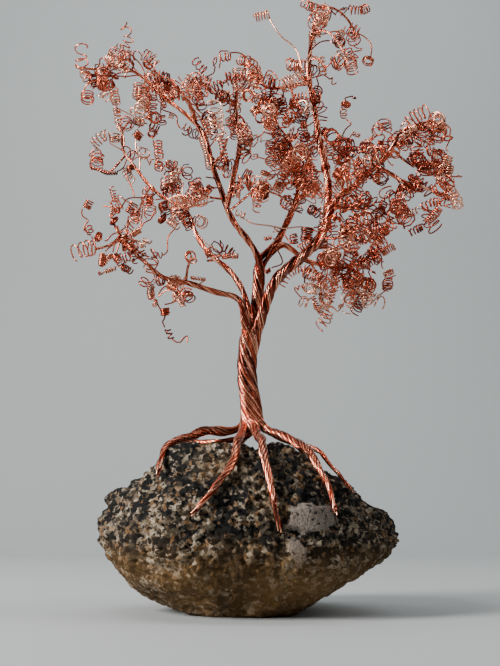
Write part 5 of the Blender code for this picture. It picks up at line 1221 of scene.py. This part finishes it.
def wire_tree():
    """Sweeps every chain as wire: laid wires as they are, twigs twisted from a few, ringlets wound."""
    tree, size = geometry_tree("draw copper wire", {
        "Wire Radius": ("Float", WIRE * MM), "Twig Wires": ("Int", TWIG_WIRES),
        "Twig Ring": ("Float", WIRE * MM), "Twig Pitch": ("Float", TWIG_PITCH * MM),
        "Steps A Turn": ("Float", STEPS_A_TURN), "Finish": ("Material", None)})

    def read(label):
        """A number that each chain carries."""
        return tree.node("GeometryNodeInputNamedAttribute", dict(data_type="FLOAT"), {"Name": label})

    def only(kind):
        """The chains of one kind."""
        chosen = read("kind").math("COMPARE", kind, 0.4)
        return tree.node("GeometryNodeSeparateGeometry", dict(domain="CURVE"), [curves, chosen])

    def wind(curve, angle, ring):
        """Moves every point off the line by the ring, at this angle round it, and along it by its tilt."""
        normal = tree.node("GeometryNodeInputNormal")
        ahead = tree.node("GeometryNodeInputTangent")
        across = tree.vector("CROSS_PRODUCT", ahead, normal)
        offset = tree.vector("ADD", tree.scaled(normal, angle.math("COSINE") * ring),
                             tree.scaled(across, angle.math("SINE") * ring))
        tilt = tree.node("GeometryNodeInputNamedAttribute", dict(data_type="FLOAT_VECTOR"), {"Name": "tilt"})
        lean = tree.node("ShaderNodeVectorMath", dict(operation="DOT_PRODUCT"), [offset, tilt], "Value")
        offset = tree.vector("ADD", offset, tree.scaled(ahead, lean))
        return tree.node("GeometryNodeSetPosition", {}, {"Geometry": curve, "Offset": offset})

    def sweep(curve, radius, sides):
        """A round wire along the curve, closed at both ends."""
        ring = tree.node("GeometryNodeCurvePrimitiveCircle", {}, {"Resolution": sides, "Radius": 1})
        return tree.node("GeometryNodeCurveToMesh", {},
                         {"Curve": curve, "Profile Curve": ring, "Scale": radius, "Fill Caps": True})

    curves = tree.node("GeometryNodeMeshToCurve", {}, [size["Geometry"]])
    place = tree.node("GeometryNodeSplineParameter", {}, {}, "Factor")
    length = place.also("Length")

    twigs = tree.node("GeometryNodeResampleCurve", dict(mode="LENGTH"),
                      {"Curve": only(TWIG), "Length": FINE * MM})
    twigs = tree.node("GeometryNodeDuplicateElements", dict(domain="SPLINE"),
                      {"Geometry": twigs, "Amount": size["Twig Wires"]}, "Geometry")
    number = twigs.also("Duplicate Index")
    twigs = tree.node("GeometryNodeStoreNamedAttribute", dict(data_type="FLOAT", domain="POINT"),
                      {"Geometry": twigs, "Name": "tone",
                       "Value": (read("tone") + number * 0.37).math("FRACT")})
    turn = (length / size["Twig Pitch"] + number / size["Twig Wires"]) * (2 * math.pi)
    twigs = wind(twigs, turn, size["Twig Ring"])

    count = read("turns") * size["Steps A Turn"]
    coils = tree.node("GeometryNodeCurveSplineType", dict(spline_type="CATMULL_ROM"), [only(COIL)])
    coils = tree.node("GeometryNodeResampleCurve", dict(mode="COUNT"), {"Curve": coils, "Count": count})
    phase = read("phase")
    wander = (place * 5 + phase).math("SINE")
    turn = (place * read("turns") + wander * WANDER) * (2 * math.pi) + phase
    ring = read("thick") * ((place * 9 + phase * 3).math("SINE") * RING_WAVE + RING_MEAN)
    coils = wind(coils, turn, ring)

    radius = size["Wire Radius"]
    laid = sweep(only(LAID), radius, LAID_SIDES)
    core = sweep(only(CORE), read("thick"), CORE_SIDES)
    twigs = sweep(twigs, radius, CURLED_SIDES)
    coils = sweep(coils, radius, CURLED_SIDES)
    joined = tree.node("GeometryNodeJoinGeometry", {}, [[coils, twigs, core, laid]])
    smoothed = tree.node("GeometryNodeSetShadeSmooth", {}, [joined])
    return close_tree(tree, smoothed, size["Finish"])


# ---------------------------------------------------------------- finishes
GROOVE_SHADE_REACH = 0.9            # how near the next wire is where painted shade darkens a groove


def new_finish(name):
    """A material with its tree, and the shader in it."""
    mat = bpy.data.materials.new(name)
    mat.use_nodes = True
    tree = Tree(mat.node_tree)
    return mat, tree, mat.node_tree.nodes["Principled BSDF"]


def feed(tree, shader, **links):
    """Links what varies over the surface into the shader."""
    for name, value in links.items():
        tree.fill(shader.inputs[name.replace("_", " ")], value)


def copper_finish():
    """Bare copper wire: each has its own tone, painted shade in the grooves and on the core, brown oxide in
    patches.
    """
    mat, tree, shader = new_finish("copper wire")
    place = tree.node("ShaderNodeTexCoord", {}, {}, "Object")
    tone = tree.node("ShaderNodeAttribute", dict(attribute_name="tone"), {}, "Fac")
    patches = tree.node("ShaderNodeTexNoise", {}, {"Vector": place, "Scale": 45, "Detail": 3})
    streaks = tree.node("ShaderNodeTexNoise", {}, {"Vector": place, "Scale": 900, "Detail": 2})
    groove_shade_openness = tree.node("ShaderNodeAmbientOcclusion", dict(samples=6, only_local=True),
                         {"Distance": GROOVE_SHADE_REACH * MM}, "AO")
    # Tone to colour, from dark maroon to light peach; the laid wires' alternating tones take painted shade
    # and highlight from its ends.
    wire = tree.node("ShaderNodeValToRGB", dict(stops=[
        (0, (0.22, 0.026, 0.012)), (0.25, (0.52, 0.085, 0.036)), (0.6, (0.8, 0.2, 0.1)),
        (0.85, (0.97, 0.4, 0.24)), (1, (1, 0.55, 0.39))]), {"Fac": tone})
    # Brown oxide in patches, and painted shade that takes the core, whose tone is below 0, nearly black.
    patina_and_core_shade = patches.between(0.5, 0.72) * 0.5 + (1 - tone.between(-0.6, -0.2)) * 0.8
    colour = tree.mix(patina_and_core_shade, wire, (0.14, 0.03, 0.018, 1))
    colour = tree.mix(streaks.between(0.5, 0.8) * 0.3, colour, (0.95, 0.6, 0.48, 1))
    # Painted shade: the colour goes nearly black where another wire is near, in the grooves between wires.
    colour = tree.mix((1 - groove_shade_openness.between(0.35, 0.9)) * 0.9, colour, (0.035, 0.006, 0.004, 1))
    roughness = patches * 0.12 + streaks * 0.1 + 0.14
    feed(tree, shader, Base_Color=colour, Roughness=roughness)
    tree.fill(shader.inputs["Metallic"], 1)
    return mat


def granite_finish():
    """Broken granite: black mica, pale feldspar, grey quartz, rust stains and a weathered underside."""
    mat, tree, shader = new_finish("granite")
    place = tree.node("ShaderNodeTexCoord", {}, {}, "Object")
    bend = tree.node("ShaderNodeTexNoise", {}, {"Vector": place, "Scale": 700, "Detail": 2}, "Color")
    bend = tree.vector("SUBTRACT", bend, (0.5, 0.5, 0.5))
    bent = tree.vector("ADD", place, tree.scaled(bend, 0.0011))
    grain = tree.node("ShaderNodeTexVoronoi", {}, {"Vector": bent, "Scale": 640}, "Color")
    split = tree.node("ShaderNodeSeparateColor", {}, [grain])
    other = split.also(1)
    clumps = tree.node("ShaderNodeTexNoise", {}, {"Vector": place, "Scale": 140, "Detail": 3})
    zones = tree.node("ShaderNodeTexNoise", {}, {"Vector": place, "Scale": 42, "Detail": 2})
    stain = tree.node("ShaderNodeTexNoise", {}, {"Vector": place, "Scale": 38, "Detail": 4})
    fine = tree.node("ShaderNodeTexNoise", {}, {"Vector": place, "Scale": 1600, "Detail": 3})
    pick = split * 0.9 + 0.06 + (clumps - 0.5) * 1.6 + (zones - 0.5) * 0.8
    mineral = tree.node("ShaderNodeValToRGB", dict(stops=[
        (0, (0.001, 0.001, 0.001)), (0.44, (0.002, 0.002, 0.002)), (0.47, (0.022, 0.016, 0.01)),
        (0.58, (0.046, 0.033, 0.02)), (0.7, (0.095, 0.071, 0.045)), (0.84, (0.165, 0.13, 0.09)),
        (0.99, (0.32, 0.26, 0.19))]), {"Fac": pick})
    rusted = other.between(0.7, 0.76) * (pick.between(0.44, 0.5) * 0.7)
    rust = tree.mix(rusted, mineral, (0.16, 0.08, 0.03, 1))
    speck = tree.node("ShaderNodeTexVoronoi", {}, {"Vector": bent, "Scale": 1150}, "Color")
    speck = tree.node("ShaderNodeSeparateColor", {}, [speck])
    dark = tree.mix((1 - speck.between(0.16, 0.22)) * 0.9, rust, (0.006, 0.006, 0.006, 1))
    x = tree.node("ShaderNodeSeparateXYZ", {}, [bent])
    y, z = x.also("Y"), x.also("Z")
    pale = tree.mix(fine.between(0.3, 0.7), (0.11, 0.088, 0.072, 1), (0.24, 0.2, 0.17, 1))
    for outline in CRYSTALS:
        outside = y - CRYSTAL_DEPTH * MM
        for side_x, side_z, reach in sides(outline):
            outside = outside.math("MAXIMUM", x * side_x + z * side_z - reach * MM)
        inside = 1 - (outside + (clumps - 0.5) * 0.007).between(-0.0006, -0.0002)
        dark = tree.mix(inside * speck.between(0.07, 0.1) * 0.92, dark, pale)
    height = tree.node("ShaderNodeSeparateXYZ", {}, [place], "Z")
    low = 1 - (height + (stain - 0.5) * 0.03).between(0.012, 0.03)
    worn = tree.mix(stain.between(0.35, 0.6) * 0.35 + 0.3, dark, (0.2, 0.105, 0.03, 1))
    colour = tree.mix(low * 0.9, dark, worn)
    colour = tree.mix(stain.between(0.55, 0.75) * 0.35, colour, (0.16, 0.1, 0.045, 1))
    roughness = 0.9 - split.between(0.5, 0.9) * 0.35
    bump = tree.node("ShaderNodeBump", {},
                     {"Strength": 0.7, "Distance": 0.0006, "Height": fine + split * 0.6}, "Normal")
    feed(tree, shader, Base_Color=colour, Roughness=roughness, Normal=bump)
    tree.fill(shader.inputs["Specular IOR Level"], 0.25)
    return mat


# ---------------------------------------------------------------- rock
ROCK_CUTS = 116         # faces along each side of the cube that the rock is blown up from
GRAIN_SIZE = 1.9
GRAIN_RELIEF = 0.9      # from the lowest grains to the highest
CRACK_DEPTH = 0.5
CRACK_WIDTH = 0.25      # as a share of a grain
ROUGHNESS = 1.3         # height of the coarser breaks
ROUGH_SIZE = 6.5        # and the distance between them
SUNK = 0.25             # how far the surface is moved in, to make room for its relief
WEATHERED = (10, 14)    # relief grows from this height on, over this height
CRYSTAL_EDGE = 0.8      # width over which a crystal's flat face meets the grain
CRYSTAL_LIFT = 0.5      # how far it stands out
# Large feldspars in its front, their outlines seen from there (X, Z), and the Y that they reach back to.
CRYSTALS = [
    [(13.4, 37.6), (12.3, 30.7), (17.7, 29.4), (23.3, 28.4), (29.1, 32), (28.5, 38.2)],
    [(12.3, 27.1), (12.3, 20.1), (15.9, 17.8), (18.9, 19.4), (19.3, 23.9), (16.6, 27.1)]]
CRYSTAL_DEPTH = -25


def sides(outline):
    """For each side of an outline its outward normal (X, Z) and its distance along it."""
    for (ax, az), (bx, bz) in zip(outline, outline[1:] + outline[:1]):
        length = math.hypot(bx - ax, bz - az)
        out_x, out_z = (bz - az) / length, (ax - bx) / length
        yield out_x, out_z, ax * out_x + az * out_z


def rock_surface(direction):
    """The rock's own shape, with blocky grains and broken pits on it."""
    point = direction * rock_radius(direction)
    spots, seeds = noise.voronoi(point / GRAIN_SIZE)
    block = noise.cell(seeds[0] * 7.3) - 0.5
    crack = ease((spots[1] - spots[0]) / CRACK_WIDTH) - 1
    rough = noise.fractal(point / ROUGH_SIZE, 0.85, 2.1, 5)
    height = point.z + ROCK_CENTRE.z
    weather = ease((height - WEATHERED[0]) / WEATHERED[1])
    lift = ((block * GRAIN_RELIEF + crack * CRACK_DEPTH) * (0.3 + 0.7 * weather)
            + rough * ROUGHNESS * (0.5 + 0.5 * weather) - SUNK)
    for outline in CRYSTALS:
        outside = max(point.x * x + height * z - reach for x, z, reach in sides(outline))
        smoothed = ease(-outside / CRYSTAL_EDGE) if point.y < CRYSTAL_DEPTH else 0
        lift += (CRYSTAL_LIFT + rough * 0.3 - lift) * smoothed
    point += direction * lift + ROCK_CENTRE
    boxed = keep_inside(point, 0)
    return Vector((boxed.x, boxed.y, max(point.z, 0)))


def rock_piece(finish):
    """A cube's faces cut fine and blown up to the rock, so that no part of it is crowded."""
    bm = bmesh.new()
    bmesh.ops.create_cube(bm, size=2)
    bmesh.ops.subdivide_edges(bm, edges=bm.edges, cuts=ROCK_CUTS, use_grid_fill=True)
    for vert in bm.verts:
        spread = Vector([math.tan(c * math.pi / 4) for c in vert.co])
        vert.co = rock_surface(spread.normalized()) * MM
    bmesh.ops.recalc_face_normals(bm, faces=bm.faces)
    mesh = bpy.data.meshes.new("granite_stone")
    bm.to_mesh(mesh)
    bm.free()
    mesh.shade_smooth()
    mesh.materials.append(finish)
    obj = bpy.data.objects.new("granite_stone", mesh)
    bpy.context.scene.collection.objects.link(obj)
    return obj


# ---------------------------------------------------------------- studio, in metres
FLOOR_REACH = 3         # from the object to the floor's edges
WALL_PLACE = 1          # how far behind the object the wall stands
WALL_BEND = 0.5         # radius of the bend from floor to wall
LENS = 45.95            # in millimetres, on a sensor of 36
CAMERA_PLACE = (0, -0.33, 0.033)
CAMERA_TILT = 12.41     # degrees upwards
# Each lamp: its place, what it shines on, its width and height, its power and its colour.
LAMPS = {"window": ((-0.8, -0.4, 0.5), (0, 0, 0.14), (0.25, 0.5), 21, (1, 0.97, 0.93)),
         "wall wash": ((0, 0.1, 1.3), (0, 1, 0.3), (1.5, 0.5), 13, (0.97, 0.99, 1)),
         "far side": ((0.7, -0.2, 0.6), (0, 0, 0.15), (0.3, 0.5), 2, (1, 0.97, 0.93))}
ROOM_LIGHT = (0.5, 0.53, 0.56, 1)
ROOM_STRENGTH = 0.07
WALL_COLOUR = (0.4, 0.425, 0.43)


def stage_piece(name, mesh, colour):
    """A piece of the surroundings, plain and faintly mottled."""
    mat, tree, shader = new_finish(name)
    place = tree.node("ShaderNodeTexCoord", {}, {}, "Object")
    mottle = tree.node("ShaderNodeTexNoise", {}, {"Vector": place, "Scale": 4, "Detail": 2})
    shade = tree.mix(mottle * 0.2, (*colour, 1), (*[c * 0.9 for c in colour], 1))
    feed(tree, shader, Base_Color=shade)
    tree.fill(shader.inputs["Roughness"], 0.75)
    mesh.materials.append(mat)
    obj = bpy.data.objects.new(name, mesh)
    bpy.context.scene.collection.objects.link(obj)


def backdrop():
    """A pale floor that curves up into a wall behind the object."""
    start = WALL_PLACE - WALL_BEND
    profile = [(-FLOOR_REACH, 0)]
    for degrees in range(0, 91, 5):
        a = math.radians(degrees)
        profile.append((start + WALL_BEND * math.sin(a), WALL_BEND - WALL_BEND * math.cos(a)))
    profile.append((WALL_PLACE, FLOOR_REACH))
    points, faces = [], []
    for y, z in profile:
        points += [(-FLOOR_REACH, y, z), (FLOOR_REACH, y, z)]
    for i in range(len(profile) - 1):
        faces.append((2 * i, 2 * i + 1, 2 * i + 3, 2 * i + 2))
    mesh = bpy.data.meshes.new("backdrop")
    mesh.from_pydata(points, [], faces)
    mesh.shade_smooth()
    stage_piece("backdrop", mesh, WALL_COLOUR)


def lamp(name, place, target, size, power, colour):
    """A soft rectangular lamp that shines on the target."""
    data = bpy.data.lights.new(name, "AREA")
    data.shape = "RECTANGLE"
    data.size, data.size_y = size
    data.energy = power
    data.color = colour
    obj = bpy.data.objects.new(name, data)
    obj.location = place
    obj.rotation_euler = (Vector(target) - Vector(place)).to_track_quat("-Z", "Y").to_euler()
    bpy.context.scene.collection.objects.link(obj)


def camera():
    """Looks slightly up at the object from in front of it."""
    data = bpy.data.cameras.new("camera")
    data.lens = LENS
    data.sensor_width = 36
    data.sensor_fit = "AUTO"
    obj = bpy.data.objects.new("camera", data)
    obj.location = CAMERA_PLACE
    obj.rotation_euler = Euler((math.radians(90 + CAMERA_TILT), 0, 0))
    bpy.context.scene.collection.objects.link(obj)
    bpy.context.scene.camera = obj


def studio():
    """The camera, the backdrop and soft light, most of it from the left."""
    camera()
    backdrop()
    world = bpy.data.worlds.new("room")
    world.use_nodes = True
    background = world.node_tree.nodes["Background"]
    background.inputs["Color"].default_value = ROOM_LIGHT
    background.inputs["Strength"].default_value = ROOM_STRENGTH
    bpy.context.scene.world = world
    for name, settings in LAMPS.items():
        lamp(name, *settings)


# ---------------------------------------------------------------- the object
# Ringlets made by rule on every twig, besides those in the table.
EXTRA_COILS = {"bundle_right": 6, "bundle_right_low": 3, "bundle_centre": 6, "bundle_crown_left": 3,
               "bundle_back_right": 4, "bundle_high_left": 2, "bundle_upright": 3, "bundle_crown": 1,
               "bundle_mid_left": 1, "bundle_low_left": 1}


def dress(piece, node):
    """Puts a finished piece in its node's place."""
    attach(piece, BODY)
    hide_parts(node)


def build():
    """The rock, and the wires of every bundle."""
    studio()
    bm = bmesh.new()
    bm.from_mesh(NODES["granite_rock"].data)
    rock = BVHTree.FromBMesh(bm)
    bm.free()
    dress(rock_piece(granite_finish()), "granite_rock")
    copper = copper_finish()
    group = wire_tree()
    for name, spec in BUNDLES.items():
        bundle = Bundle(name, rock)
        if "second_root" in spec:
            add_second_root(bundle, rock)
        add_twigs(bundle, EXTRA_COILS[name])
        add_ringlets(bundle)
        piece = grow(name.replace("bundle", "wires"), chains_mesh(name, bundle.chains), group, finish=copper)
        dress(piece, name)


build()
